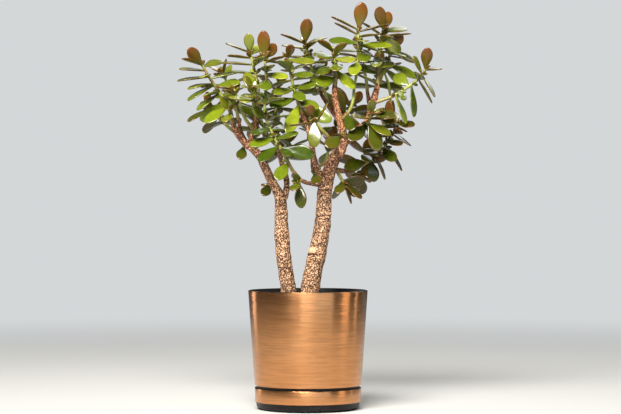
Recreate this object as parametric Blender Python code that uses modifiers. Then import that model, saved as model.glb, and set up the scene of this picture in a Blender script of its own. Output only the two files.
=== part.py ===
"""A jade bonsai with two trunks, growing in a copper-clad planter that stands in its saucer.

Metres, +Z up. The origin is the middle of the saucer's underside, and -Y is the side that is looked at.
"""

import math
import random
from collections import namedtuple

import bmesh
import bpy
import numpy as np
from mathutils import Vector

MM = 0.001
GAP = 0.3 * MM
SEED = 7

# The planter: a black liner in a copper sleeve, standing in a black saucer with a copper band
POT_SIDES = 32
POT_HEIGHT = 164 * MM
RIM_RADIUS = 82.5 * MM
SLEEVE_FOOT_RADIUS = 73.9 * MM
SHEET = 0.9 * MM
SLEEVE_TOP = POT_HEIGHT - 0.6 * MM
SLEEVE_FOOT = 33.5 * MM
WALL = 2.2 * MM
LINER_FLOOR = 3.0 * MM
LINER_PLUG_RADIUS = 70.6 * MM
DRAIN_HOLES = 5
DRAIN_RADIUS = 4 * MM
DRAIN_CIRCLE = 38 * MM
DRAIN_SIDES = 10
SAUCER_RADIUS = 72.4 * MM
SAUCER_HEIGHT = 29.0 * MM
SAUCER_FLOOR = LINER_FLOOR - GAP
BAND_FOOT = 11 * MM
BAND_TOP = 29.6 * MM
BAND_RADIUS = SAUCER_RADIUS + GAP + SHEET
FOOT_RADIUS = 65 * MM
EDGE = 0.4 * MM
ROUND = 3.5 * MM
SOIL_TOP = 150 * MM
SOIL_SLOPE = 3 * MM
SOIL_LUMPS = 1.6 * MM
ROOT_DEPTH = 26 * MM
ROOT_PLAY = 0.45 * MM
HOLE_SIDES = 14

# The leaves: plump and blunt, in pairs that stand crosswise to each other along a shoot
LEAF_LENGTH = 38 * MM
LEAF_THICKNESS = 3.4 * MM
LEAF_CUP = 0.10
WIDEST = 0.64
LEAF_SIDES = 4
LEAF_RINGS = 4
TRUNK_SIDES = 10
LIMB_SIDES = 8
SHOOT_SIDES = 4
LEAN = (34, 64, 78, 87, 94, 99, 103, 106, 108, 110)
SIZE = (0.66, 0.93, 1.02, 1.02, 0.97, 0.92, 0.9, 0.88, 0.86, 0.84)
ARCH = (0.02, 0.06, 0.10, 0.13, 0.16, 0.18, 0.18, 0.18, 0.18, 0.18)
SET_ARCH = 0.07
LONGEST = 53 * MM
ROOT_SINK = 1.5 * MM
SWING = 12
NOD = 7
TIP_RADIUS = 1.6 * MM
SHOOT_RADIUS = 2.6 * MM

# How far the leaves keep from each other and from stems that they don't grow on
LEAF_REACH = 2.55 * MM
STEM_REACH = 0.95 * MM
ROOT_SHARE = 0.35
CROWDED = 3 * MM

# Woody stems, as knots of x, y, z and radius in millimetres
LEFT_TRUNK = [
    (-25.5, 2, 124, 10.8), (-25.5, 2, 150, 10.8), (-29, 1, 178, 10.7), (-33, 0, 205, 10.3),
    (-35.5, -1, 232, 10.3), (-37, -1, 256, 9.6), (-37, 0, 276, 8.6), (-38.5, 0, 292, 8.0),
    (-44, -2, 303, 6.8), (-52, -4, 318, 6.2), (-59, -6, 333, 6.0), (-66, -8, 348, 5.6),
    (-75, -10, 358, 5.2), (-85, -11, 365, 4.8), (-94, -12, 375, 4.4), (-101, -12, 387, 4.0),
    (-105, -12, 400, 3.6),
]
LEFT_LIMBS = [
    [(-37, 0, 282, 5.5), (-31, 6, 297, 4.6), (-30, 18, 315, 4.2), (-36, 34, 338, 3.8),
     (-42, 46, 362, 3.4), (-44, 54, 385, 3.0)],
    [(-82, -11, 362, 3.6), (-78, -14, 374, 3.6), (-73, -18, 388, 3.3), (-71, -20, 404, 3.0),
     (-70, -22, 416, 2.8)],
    [(-62, -7, 341, 4.2), (-72, 12, 352, 4.0), (-84, 32, 366, 3.5), (-94, 48, 384, 3.1),
     (-98, 58, 402, 2.8)],
]
RIGHT_TRUNK = [
    (2.5, -1, 124, 13.4), (2.5, -1, 150, 13.4), (5, -1, 178, 13.1), (10, -1, 202, 12.8),
    (14.5, -1, 222, 12.2), (18, -1, 242, 11.4), (21, 0, 262, 11.0), (22, 0, 284, 10.6),
    (23.5, 0, 302, 10.2), (27, 0, 320, 9.6), (32, 0, 336, 9.4), (38, 0, 348, 8.8),
    (45, 0, 359, 8.0), (49, 0, 370, 7.0), (48, 0, 382, 5.8), (45, 0, 395, 5.2),
    (41, 0, 412, 4.8), (37.5, 0, 430, 4.4), (37, 0, 447, 3.6),
]
RIGHT_LIMBS = [
    [(22, -2, 308, 6.0), (13, -8, 320, 5.2), (8, -11, 334, 4.6), (7, -13, 352, 4.2),
     (4, -14, 372, 3.8), (-2, -16, 392, 3.4), (-9, -18, 408, 3.0)],
    [(16, -6, 310, 3.6), (2, -20, 311, 3.2), (-10, -30, 316, 3.0), (-20, -38, 327, 2.8)],
    [(47, 0, 364, 6.0), (57, 3, 374, 5.2), (69, 6, 385, 4.8), (80, 9, 395, 4.6),
     (87, 10, 408, 4.5), (91, 10, 424, 4.4), (95, 10, 440, 4.0), (97, 10, 450, 3.6)],
    [(29, 2, 330, 4.6), (40, 14, 330, 4.0), (54, 26, 329, 3.5), (68, 33, 333, 3.1)],
    [(46, 0, 388, 4.2), (42, 16, 400, 3.8), (34, 34, 412, 3.4), (24, 46, 428, 3.0),
     (16, 50, 442, 2.7)],
    [(82, 9, 398, 3.8), (86, 26, 412, 3.5), (86, 46, 424, 3.2), (84, 62, 440, 2.8)],
    [(38, 0, 350, 4.2), (40, -18, 358, 3.6), (34, -36, 366, 3.2), (26, -52, 376, 2.8)],
    [(24, 2, 303, 4.4), (20, 22, 318, 3.6), (14, 42, 335, 3.2), (8, 58, 352, 2.8)],
]

# Leafy shoots: the number of leaf pairs, a turn of the pairs in degrees, and the knots of x, y and z in
# millimetres, the first of them inside the woody stem that the shoot grows from
SHOOTS = {
    "shoot_far_left": (6, 0, [
        (-105, -12, 400), (-108, -13, 414), (-118, -14, 431), (-133, -16, 453), (-146, -18, 475),
    ]),
    "shoot_left_low": (2, 80, [(-103, -12, 394), (-106, -26, 401), (-106, -40, 412)]),
    "shoot_left_back": (5, 70, [(-98, 58, 402), (-102, 61, 420), (-110, 60, 444), (-120, 55, 468)]),
    "shoot_left_back_out": (4, 40, [(-90, 42, 376), (-108, 60, 388), (-126, 72, 404), (-140, 78, 420)]),
    "shoot_left_upper": (5, 0, [(-70, -22, 416), (-68, -22, 440), (-73, -21, 465), (-80, -20, 492)]),
    "shoot_left_mid": (3, 75, [(-74, -17, 384), (-86, -32, 400), (-94, -38, 420), (-101, -40, 440)]),
    "shoot_front_left": (9, 0, [
        (-20, -38, 327), (-28, -43, 341), (-38, -46, 360), (-50, -45, 382), (-58, -42, 404),
        (-59, -40, 425), (-57, -37, 450), (-59, -34, 483),
    ]),
    "shoot_center_upper": (5, 0, [(-9, -18, 408), (-15, -20, 427), (-21, -20, 448), (-28, -18, 484)]),
    "shoot_center_back": (5, 0, [(16, 50, 442), (8, 44, 462), (2, 34, 485), (-4, 26, 508)]),
    "shoot_right_center": (3, 0, [(37, 0, 447), (39, -3, 465), (37, -6, 482), (34, -8, 494)]),
    "shoot_top": (6, 0, [
        (44, 0, 398), (53, -10, 406), (61, -14, 420), (64, -13, 445), (68, -10, 472), (70, -7, 525),
    ]),
    "shoot_right_upper": (5, 0, [(97, 10, 450), (98, 12, 475), (100, 13, 500), (105, 14, 526)]),
    "shoot_right_upper_back": (4, 30, [(94, 10, 438), (103, 24, 462), (111, 34, 482), (118, 40, 500)]),
    "shoot_far_right": (6, 0, [
        (91, 10, 423), (106, 9, 428), (121, 8, 434), (140, 6, 446), (156, 5, 459), (163, 5, 470),
    ]),
    "shoot_right_front": (3, 20, [(80, 9, 395), (81, -8, 392), (83, -20, 396), (87, -32, 405)]),
    "shoot_right_mid": (3, 0, [(76, 8, 391), (95, 16, 391), (112, 20, 392), (126, 22, 396)]),
    "shoot_low_right": (5, 0, [
        (68, 33, 333), (84, 36, 343), (100, 36, 356), (112, 34, 371), (120, 32, 383),
    ]),
    "shoot_low_right_hang": (3, 20, [(54, 26, 329), (64, 44, 326), (74, 58, 324)]),
    "shoot_low_right_small": (2, 0, [(40, 14, 330), (46, 8, 318), (52, 2, 309)]),
    "shoot_front_center": (2, 10, [(26, -52, 376), (18, -58, 384), (11, -62, 392), (7, -64, 400)]),
    "shoot_front_right": (1, -10, [(34, -36, 366), (40, -46, 370), (45, -55, 375)]),
    "shoot_front_low": (1, 0, [(-10, -30, 316), (-12, -40, 312), (-14, -48, 312)]),
    "shoot_front_low_right": (0, 0, [(13, -8, 320), (10, -24, 322), (8, -32, 326)]),
    "shoot_back_left": (5, 0, [(-44, 54, 385), (-46, 60, 405), (-44, 66, 428), (-40, 68, 450)]),
    "shoot_back_left_low": (4, 30, [(-34, 30, 332), (-36, 50, 342), (-42, 68, 358), (-46, 80, 376)]),
    "shoot_back_left_out": (4, 0, [(-84, 32, 366), (-76, 45, 371), (-72, 70, 388), (-70, 88, 412)]),
    "shoot_back_center": (4, 0, [(8, 58, 352), (4, 70, 368), (0, 80, 386), (-2, 86, 404)]),
    "shoot_back_center_up": (4, 20, [(30, 40, 418), (26, 62, 432), (22, 78, 450), (20, 86, 470)]),
    "shoot_back_right_up": (4, 0, [(84, 62, 440), (82, 70, 460), (78, 74, 480), (74, 74, 500)]),
    "shoot_back_right_out": (4, 0, [(86, 40, 420), (92, 60, 436), (98, 76, 456), (100, 84, 478)]),
    "shoot_back_right_low": (4, 0, [(60, 30, 330), (70, 54, 336), (80, 74, 346), (88, 88, 360)]),
    "shoot_back_low_center": (3, 20, [(14, 42, 335), (24, 60, 342), (28, 76, 356), (30, 88, 372)]),
    "shoot_back_mid": (4, 40, [(38, 26, 406), (48, 48, 408), (58, 68, 414), (64, 84, 424)]),
    "shoot_back_left_up": (5, 20, [(-42, 46, 362), (-58, 58, 382), (-68, 64, 408), (-74, 66, 436)]),
    "shoot_left_hang": (0, 0, [(-85, -11, 365), (-88, 0, 362), (-90, 8, 360)]),
    "shoot_front_mid_left": (3, 80, [
        (-71, -20, 404), (-74, -38, 412), (-74, -54, 424), (-72, -64, 438),
    ]),
    "shoot_front_right_up": (0, 0, [(87, 10, 408), (92, -3, 409), (96, -12, 409), (100, -18, 411)]),
    "shoot_left_behind": (0, 0, [(-46, -2, 307), (-51, 12, 309), (-56, 22, 309)]),
}

# Leaves that are set one by one, in millimetres: x and z of the root and of the tip, the length, which is
# below nothing where the leaf leans away from the viewer, the width, and where the upper side looks
LOOKS = {"up": (0, -0.15, 1), "half": (0, -0.65, 0.75), "front": (0, -1, 0.2), "back": (0, 1, 0.2),
         "turned": (0.85, -0.5, 0.1), "right": (1, -0.4, 0.3)}
SET_LEAVES = {
    "shoot_top": [
        (70, 525, 74, 561, 37, 20, "back"), (69, 522, 32, 541, 42, 17, "up"),
        (70, 521, 112, 531, -44, 17, "up"), (70, 514, 98, 515, 36, 16, "up"),
        (67, 505, 29, 509, 41, 19, "half"), (67, 502, 116, 499, 49, 19, "half"),
        (68, 490, 82, 478, 38, 20, "half"), (68, 494, 96, 487, -37, 18, "half"),
        (53, 406, 61, 383, 33, 18, "front"),
    ],
    "shoot_right_upper": [
        (105, 526, 97, 555, 36, 17, "back"), (105, 526, 114, 551, -32, 16, "back"),
        (105, 521, 138, 529, -39, 19, "half"), (104, 515, 142, 518, 39, 17, "up"),
        (102, 509, 130, 497, -38, 20, "front"), (98, 462, 63, 475, 43, 18, "half"),
        (99, 472, 120, 480, -36, 18, "half"), (98, 480, 70, 481, -38, 18, "up"),
    ],
    "shoot_right_upper_back": [
        (117, 498, 150, 482, 38, 19, "half"), (116, 496, 155, 487, -47, 18, "half"),
        (112, 486, 103, 473, 34, 17, "half"), (109, 479, 153, 460, 46, 18, "half"),
    ],
    "shoot_far_right": [
        (163, 470, 165, 498, 33, 17, "back"), (163, 468, 183, 468, 31, 15, "up"),
        (158, 462, 144, 485, 34, 16, "right"), (158, 461, 175, 430, 38, 17, "turned"),
        (152, 456, 172, 423, -39, 16, "up"), (143, 448, 146, 403, 46, 18, "turned"),
        (121, 434, 135, 393, 44, 18, "turned"), (140, 446, 119, 464, -36, 20, "front"),
    ],
    "shoot_right_center": [
        (34, 493, 15, 507, 34, 16, "up"), (34, 493, 50, 503, 34, 16, "up"),
        (36, 484, 7, 486, 38, 19, "half"), (36, 483, 64, 478, 39, 19, "half"),
        (38, 473, 11, 460, 37, 18, "half"), (39, 467, 63, 440, 42, 19, "half"),
        (37, 457, 11, 448, 39, 20, "front"),
    ],
    "shoot_center_back": [
        (-4, 508, -2, 540, 37, 18, "back"), (-4, 506, -38, 519, 38, 17, "up"),
        (-3, 505, 27, 517, -37, 17, "up"), (-2, 499, 7, 507, 34, 18, "half"),
        (2, 487, -37, 489, 40, 17, "up"), (2, 486, 19, 498, -36, 17, "up"),
    ],
    "shoot_center_upper": [
        (-13, 420, -27, 378, 46, 19, "front"), (-13, 420, 32, 396, 52, 21, "front"),
        (-28, 484, -22, 500, 27, 13, "back"), (-28, 481, 9, 475, 43, 19, "half"),
        (-23, 460, 6, 457, 38, 18, "half"), (-19, 442, 11, 444, 38, 18, "half"),
        (-19, 440, -49, 433, 40, 18, "half"), (-15, 428, -52, 416, 44, 20, "half"),
        (-14, 427, 14, 412, 42, 20, "half"),
    ],
    "shoot_front_center": [(8, 397, 9, 359, 39, 19, "front")],
    "shoot_front_left": [
        (-59, 483, -62, 519, 38, 18, "back"), (-59, 483, -45, 503, -32, 17, "back"),
        (-58, 476, -33, 483, 35, 18, "up"), (-57, 460, -28, 453, 38, 18, "half"),
        (-57, 452, -58, 436, 36, 19, "half"), (-59, 428, -74, 434, 34, 18, "half"),
        (-57, 402, -74, 408, 34, 18, "front"), (-56, 399, -27, 402, 37, 18, "up"),
        (-52, 386, -74, 376, 35, 18, "half"), (-50, 383, -27, 388, -36, 18, "half"),
        (-45, 372, -78, 361, 39, 18, "half"), (-44, 371, -13, 378, 38, 18, "half"),
        (-39, 362, -67, 340, 41, 18, "half"), (-37, 359, 9, 350, 49, 21, "front"),
        (-27, 339, -42, 315, 38, 18, "front"),
    ],
    "shoot_left_upper": [
        (-80, 492, -113, 503, 36, 16, "up"), (-80, 492, -82, 516, 28, 15, "front"),
        (-79, 488, -66, 502, -32, 17, "half"), (-76, 474, -119, 476, 44, 17, "up"),
        (-75, 472, -60, 481, 36, 17, "up"), (-72, 462, -106, 463, 38, 18, "up"),
        (-72, 459, -44, 458, -37, 18, "up"), (-70, 445, -94, 441, 36, 18, "up"),
        (-69, 432, -95, 423, 37, 20, "half"),
    ],
    "shoot_far_left": [
        (-146, 475, -163, 495, 34, 17, "back"), (-145, 473, -173, 480, 35, 16, "up"),
        (-144, 471, -118, 481, -34, 17, "half"), (-141, 466, -176, 467, 38, 17, "up"),
        (-136, 457, -179, 451, 45, 18, "up"), (-134, 455, -96, 465, -42, 18, "up"),
        (-129, 446, -165, 424, 44, 18, "up"), (-127, 445, -93, 449, 39, 18, "half"),
        (-121, 435, -152, 411, 41, 17, "up"), (-112, 421, -149, 399, -46, 20, "front"),
        (-110, 417, -141, 394, 41, 19, "half"),
    ],
    "shoot_left_back_out": [(-139, 419, -169, 399, 40, 17, "up")],
    "shoot_left_hang": [(-88, 361, -93, 344, 27, 15, "front")],
    "shoot_left_behind": [(-54, 309, -61, 294, 28, 15, "front")],
    "shoot_front_low": [(-12, 312, -9, 277, 36, 17, "front")],
    "shoot_front_low_right": [(9, 324, 13, 310, 26, 15, "half")],
    "shoot_front_right": [(44, 374, 25, 359, 33, 19, "front")],
    "shoot_right_front": [(81, 392, 57, 369, 41, 21, "front"), (82, 394, 112, 376, 38, 17, "half")],
    "shoot_right_mid": [(124, 395, 147, 391, 36, 17, "half"), (103, 391, 124, 389, 36, 18, "half")],
    "shoot_front_right_up": [(93, 411, 127, 396, 42, 21, "front")],
    "shoot_low_right": [
        (118, 380, 144, 366, -37, 18, "half"), (116, 378, 87, 381, 35, 17, "half"),
        (113, 372, 128, 364, 34, 18, "half"), (108, 366, 131, 329, 44, 17, "right"),
        (105, 362, 119, 341, 36, 18, "front"), (102, 358, 79, 353, 37, 19, "half"),
        (94, 351, 107, 317, 38, 17, "right"), (90, 347, 93, 314, 37, 18, "front"),
        (82, 342, 50, 334, 38, 19, "front"),
    ],
    "shoot_low_right_hang": [(64, 326, 66, 293, 38, 19, "front"), (70, 325, 77, 297, -36, 18, "front")],
    "shoot_low_right_small": [
        (51, 310, 73, 290, 33, 15, "up"), (50, 311, 60, 283, 32, 15, "right"),
        (49, 313, 41, 297, 27, 15, "half"),
    ],
}

UP = Vector((0, 0, 1))
Leaf = namedtuple("Leaf", "base along face length width arch")
Stem = namedtuple("Stem", "points radii")


def in_metres(knot):
    return Vector(knot) * MM


def smooth_path(knots, steps):
    """Points on one smooth curve through the knots, so many for each stretch between two of them."""
    ends = [knots[0] * 2 - knots[1], *knots, knots[-1] * 2 - knots[-2]]
    path = []
    for a, b, c, d in zip(ends, ends[1:], ends[2:], ends[3:]):
        for i in range(steps):
            t = i / steps
            path.append(0.5 * (2 * b + (c - a) * t + (2 * a - 5 * b + 4 * c - d) * t**2
                               + (3 * b - a - 3 * c + d) * t**3))
    path.append(knots[-1])
    return path


def woody_stem(knots, steps=1):
    path = smooth_path([in_metres(k) for k in knots], steps)
    return Stem([p.xyz for p in path], [p.w for p in path])


def along_stem(stem, step):
    """Places along a stem's middle, close to one another, and the stem's radius at each."""
    places, radii = [], []
    for a, b, wide, narrow in zip(stem.points, stem.points[1:], stem.radii, stem.radii[1:]):
        count = max(2, round((b - a).length / step))
        for i in range(count + 1):
            places.append(a.lerp(b, i / count))
            radii.append(wide + (narrow - wide) * i / count)
    return np.array(places), np.array(radii)


def leave_wood(start, way, woods):
    """How far along its way a shoot's round start is clear of all the woody stems."""
    side = way.orthogonal().normalized() * SHOOT_RADIUS
    up = way.cross(side)
    turns = [math.tau * i / 12 for i in range(12)]
    disc = np.array([start, *[start + side * math.cos(a) + up * math.sin(a) for a in turns]])
    reach = 0
    for wood in woods:
        middles, radii = along_stem(wood, 0.5 * MM)
        room = 0
        while room < GAP:
            spans = np.linalg.norm(disc[:, None] + np.array(way) * reach - middles, axis=2)
            room = (spans - radii).min()
            reach += 0.1 * MM * (room < GAP)
    return reach


def shoot_stem(knots, woods, steps=3):
    """A shoot's stem, thinner towards its tip, from where it leaves the wood that it grows on."""
    path = smooth_path([in_metres(k) for k in knots], steps)
    way = (path[1] - path[0]).normalized()
    ended = [wood for wood in woods if (path[0] - wood.points[-1]).length < GAP]
    if ended:
        along = way.dot((ended[0].points[-1] - ended[0].points[-2]).normalized())
        thickest = ended[0].radii[-1] - GAP
        reach = (1.2 * GAP + thickest * math.sqrt(max(0, 1 - along * along))) / along
    else:
        thickest = SHOOT_RADIUS
        reach = leave_wood(path[0], way, woods)
    rest = [p for p in path[1:] if (p - path[0]).length > reach + 3 * MM]
    path = [path[0] + way * reach, *rest]
    last = len(path) - 1
    return Stem(path, [thickest + (TIP_RADIUS - thickest) * i / last for i in range(last + 1)])


def seen_at(stem, x, z):
    """How far below its tip a stem passes a place of the front view."""
    nearest, found = None, 0
    distance = 0
    for upper, lower in zip(reversed(stem.points), list(reversed(stem.points))[1:]):
        for i in range(8):
            spot = upper.lerp(lower, i / 8)
            off = math.hypot(spot.x - x, spot.z - z)
            if nearest is None or off < nearest:
                nearest, found = off, distance + (lower - upper).length * i / 8
        distance += (lower - upper).length
    return max(found, ROOT_SINK)


def place_on(stem, distance):
    """The point of a stem so far down from its tip, and the way that the stem grows there."""
    for upper, lower in zip(reversed(stem.points), list(reversed(stem.points))[1:]):
        step = (upper - lower).length
        if distance <= step:
            return upper.lerp(lower, distance / step), (upper - lower).normalized()
        distance -= step
    return None


def outline(s):
    """A leaf's half width s of the way to its tip, as a share of its widest."""
    if s < WIDEST:
        return 0.15 + 0.85 * math.sin(math.pi / 2 * s / WIDEST) ** 1.5
    return math.sqrt(max(0.0, 1 - ((s - WIDEST) / (1 - WIDEST)) ** 2))


def flesh(s):
    """A leaf's half thickness s of the way to its tip, as a share of its thickest."""
    return 0.62 + 0.38 * math.sin(math.pi * s**0.8)


def on_leaf(leaf, s, u, v):
    """The point of a leaf s of the way to its tip, u of the way to its edge and v to its skin."""
    half_width = leaf.width / 2 * outline(s)
    drop = leaf.arch * leaf.length * s * s
    rise = LEAF_CUP * half_width * u * u + v * LEAF_THICKNESS / 2 * flesh(s)
    sideways = leaf.face.cross(leaf.along) * (half_width * u)
    return leaf.base + leaf.along * (leaf.length * s) + sideways + leaf.face * (rise - drop)


def make_leaf(base, way, face, length, width, arch):
    along = way.normalized()
    upper = (face - along * face.dot(along)).normalized()
    return Leaf(base, along, upper, length, width, arch)


def set_leaf(stem, row, deeper=0, shrink=1, slip=0):
    """A leaf whose root and tip are given as they are seen from the front.

    Its tip may be set deeper, it may shrink, and its root may slip down the stem.
    """
    root_x, root_z, tip_x, tip_z, length, width, look = row
    spot = place_on(stem, seen_at(stem, root_x * MM, root_z * MM) + slip)
    if spot is None:
        return None
    base = spot[0]
    reach = Vector((tip_x * MM - base.x, 0, tip_z * MM - base.z))
    depth = math.sqrt(max(0, (length * MM) ** 2 - reach.length_squared))
    reach.y = deeper - math.copysign(depth, length)
    reach *= shrink
    upper = Vector(LOOKS[look])
    upper = (upper - reach * upper.dot(reach) / reach.length_squared).normalized()
    way = reach + upper * SET_ARCH * reach.length
    return make_leaf(base, way, upper, way.length, width * MM * (0.3 + 0.7 * shrink), SET_ARCH)


class Crowd:
    """Sample points of all that has grown so far, to keep new leaves clear of it."""

    def __init__(self):
        self.places = np.zeros((0, 3))
        self.reach = np.zeros(0)
        self.owner = np.zeros(0, int)
        self.root = np.zeros(0, bool)

    def add(self, places, reach, owner, root):
        count = len(places)
        self.places = np.vstack([self.places, places])
        self.reach = np.append(self.reach, np.broadcast_to(reach, count))
        self.owner = np.append(self.owner, np.full(count, owner))
        self.root = np.append(self.root, np.broadcast_to(root, count))

    def add_stem(self, stem, owner):
        places, radii = along_stem(stem, 2.5 * MM)
        self.add(places, radii + STEM_REACH, owner, True)

    def add_leaf(self, leaf, owner):
        places, root = leaf_samples(leaf)
        self.add(places, LEAF_REACH, owner, root)

    def has_room(self, leaf, owner):
        places, root = leaf_samples(leaf)
        middle = places.mean(axis=0)
        near = np.linalg.norm(self.places - middle, axis=1) < leaf.length * 0.75 + 16 * MM
        spans = np.linalg.norm(places[:, None] - self.places[near][None], axis=2)
        close = spans < LEAF_REACH + self.reach[near][None]
        own = (self.owner[near] == owner)[None]
        return not (close & ~(own & (self.root[near][None] | root[:, None]))).any()


def leaf_samples(leaf):
    """Points spread over a leaf, and which of them are near its root."""
    places, root = [], []
    for s in (0.12, 0.24, 0.36, 0.48, 0.60, 0.72, 0.84, 0.93, 1.0):
        for u in (-1, -0.5, 0, 0.5, 1) if s < 1 else (0,):
            places.append(on_leaf(leaf, s, u, 0))
            root.append(s < ROOT_SHARE)
    return np.array(places), np.array(root)


def ways_to_bend():
    """Turns about the stem, tilts and shrinkings to try on a leaf that has no room, the mildest first."""
    found = [(turn, tilt, shrink) for shrink in (1, 0.86, 0.72) for tilt in (0, -12, 12, -24, 24)
             for turn in (0, 13, -13, 26, -26, 40, -40)]
    return sorted(found, key=lambda w: abs(w[0]) / 13 + abs(w[1]) / 10 + (1 - w[2]) * 9)


def ways_to_fit():
    """Shifts in depth, shrinkings and slips to try on a set leaf that has no room, the mildest first."""
    found = [(deeper * MM, shrink, slip * MM) for deeper in (0, -6, 6, -12, 12, -18, 18, -26, 26)
             for shrink in (1, 0.93, 0.85) for slip in (0, 3, 6)]
    return sorted(found, key=lambda w: abs(w[0]) / (6 * MM) + (1 - w[1]) * 10 + w[2] / (2.5 * MM))


BENDS = ways_to_bend()
FITS = ways_to_fit()


def pair_distance(pair):
    """How far below the tip a pair of leaves stands, the pairs counted from the tip."""
    return ROOT_SINK + (6.5 * pair + 1.2 * pair**2) * MM


def paired_leaf(stem, pair, side, turn, chance, bend):
    """One leaf of a pair, changed a little by chance, and bent clear of what is there."""
    spot = place_on(stem, pair_distance(pair))
    if spot is None:
        return None
    base, axis = spot
    right = (Vector((1, 0, 0)) - axis * axis.x).normalized()
    back = axis.cross(right)
    swing, nod, grow, roll, tint = chance
    angle = math.radians(turn + 90 * ((pair + 1) % 2) + 180 * side + SWING * swing + bend[0])
    lean = math.radians(LEAN[pair] + NOD * nod + bend[1])
    outward = right * math.cos(angle) + back * math.sin(angle)
    way = axis * math.cos(lean) + outward * math.sin(lean)
    face = axis * 0.75 + UP * 0.45 + axis.cross(outward) * 0.18 * roll
    if pair == 0:
        face = axis * 0.2 - outward
    length = LEAF_LENGTH * SIZE[pair] * (1 + 0.09 * grow) * bend[2]
    width = length * (0.60 if pair == 0 else 0.50 + 0.03 * tint)
    return make_leaf(base, way, face, length, width, ARCH[pair])


def place_set_leaves(stems, leaves, crowd):
    """Places the leaves that are set one by one."""
    for owner, (name, stem) in enumerate(stems.items()):
        for row in SET_LEAVES.get(name, []):
            for fit in FITS:
                leaf = set_leaf(stem, row, *fit)
                if leaf and leaf.length < LONGEST and crowd.has_room(leaf, owner):
                    crowd.add_leaf(leaf, owner)
                    leaves[name].append(leaf)
                    break
            else:
                print("no room on", name, "for the leaf", row)


def free_sides(name, stem, pair):
    """The sides on which a pair's leaves may stand, because no set leaves stand there."""
    here = pair_distance(pair)
    rows = SET_LEAVES.get(name, [])
    taken = sum(abs(seen_at(stem, row[0] * MM, row[1] * MM) - here) < CROWDED for row in rows)
    return (0, 1)[min(taken, 2):] if pair < SHOOTS[name][0] else ()


def place_pairs(stems, leaves, crowd):
    """Fills the shoots with pairs of leaves, on all of them from the tip down."""
    for pair in range(max(pairs for pairs, _, _ in SHOOTS.values())):
        for owner, (name, stem) in enumerate(stems.items()):
            for side in free_sides(name, stem, pair):
                draw = random.Random(f"{SEED} {name} {pair} {side}")
                chance = [draw.uniform(-1, 1) for _ in range(5)]
                for bend in BENDS:
                    leaf = paired_leaf(stem, pair, side, SHOOTS[name][1], chance, bend)
                    if leaf and crowd.has_room(leaf, owner):
                        crowd.add_leaf(leaf, owner)
                        leaves[name].append(leaf)
                        break


def grow():
    """Works out every stem and leaf: the woods of both trunks, and each shoot's stem with its leaves."""
    left = [woody_stem(knots) for knots in (LEFT_TRUNK, *LEFT_LIMBS)]
    right = [woody_stem(knots) for knots in (RIGHT_TRUNK, *RIGHT_LIMBS)]
    stems = {name: shoot_stem(knots, left + right) for name, (_, _, knots) in SHOOTS.items()}
    leaves = {name: [] for name in SHOOTS}
    crowd = Crowd()
    for wood in left + right:
        crowd.add_stem(wood, -1)
    for owner, stem in enumerate(stems.values()):
        crowd.add_stem(stem, owner)
    place_set_leaves(stems, leaves, crowd)
    place_pairs(stems, leaves, crowd)
    return left, right, stems, leaves


def clear_scene():
    for obj in list(bpy.data.objects):
        bpy.data.objects.remove(obj)


def material(name, colour, roughness, metallic=0.0):
    made = bpy.data.materials.new(name)
    made.use_nodes = True
    shader = made.node_tree.nodes["Principled BSDF"]
    shader.inputs["Base Color"].default_value = (*colour, 1)
    shader.inputs["Roughness"].default_value = roughness
    shader.inputs["Metallic"].default_value = metallic
    return made


def new_object(name, data, collection, surface=None):
    obj = bpy.data.objects.new(name, data)
    collection.objects.link(obj)
    if surface:
        data.materials.append(surface)
    return obj


def smooth_round(mesh):
    mesh.shade_smooth()
    mesh.set_sharp_from_angle(angle=math.radians(35))


def apply_modifiers(obj):
    """Replaces the object's mesh with what its modifiers make of it."""
    graph = bpy.context.evaluated_depsgraph_get()
    made = bpy.data.meshes.new_from_object(obj.evaluated_get(graph))
    obj.modifiers.clear()
    obj.data = made


def turned(name, profile, collection, surface, ring=False):
    """A shape turned about Z from a profile of radius and height, which runs down its outer side.

    The profile of a ring closes on itself, and any other starts and ends on the axis.
    """
    mesh = bpy.data.meshes.new(name)
    count = len(profile)
    edges = [(i, (i + 1) % count) for i in range(count if ring else count - 1)]
    mesh.from_pydata([(radius, 0, height) for radius, height in profile], edges, [])
    obj = new_object(name, mesh, collection, surface)
    screw = obj.modifiers.new("Turn", "SCREW")
    screw.steps = screw.render_steps = POT_SIDES
    screw.merge_threshold = 0.01 * MM
    screw.use_merge_vertices = True
    apply_modifiers(obj)
    smooth_round(obj.data)
    return obj


def wall_radius(height):
    """The liner's outer radius at a height, above its plug."""
    share = (height - SLEEVE_FOOT) / (SLEEVE_TOP - SLEEVE_FOOT)
    return SLEEVE_FOOT_RADIUS + (RIM_RADIUS - SLEEVE_FOOT_RADIUS) * share - SHEET - GAP


def thin_ring(name, outer_top, outer_foot, top, foot, collection, surface):
    """A ring of sheet copper, which may be wider at its top, with its outer edges broken."""
    profile = [(outer_top, top - EDGE), (outer_foot, foot + EDGE), (outer_foot - EDGE, foot),
               (outer_foot - SHEET, foot), (outer_top - SHEET, top), (outer_top - EDGE, top)]
    return turned(name, profile, collection, surface, ring=True)


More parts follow.
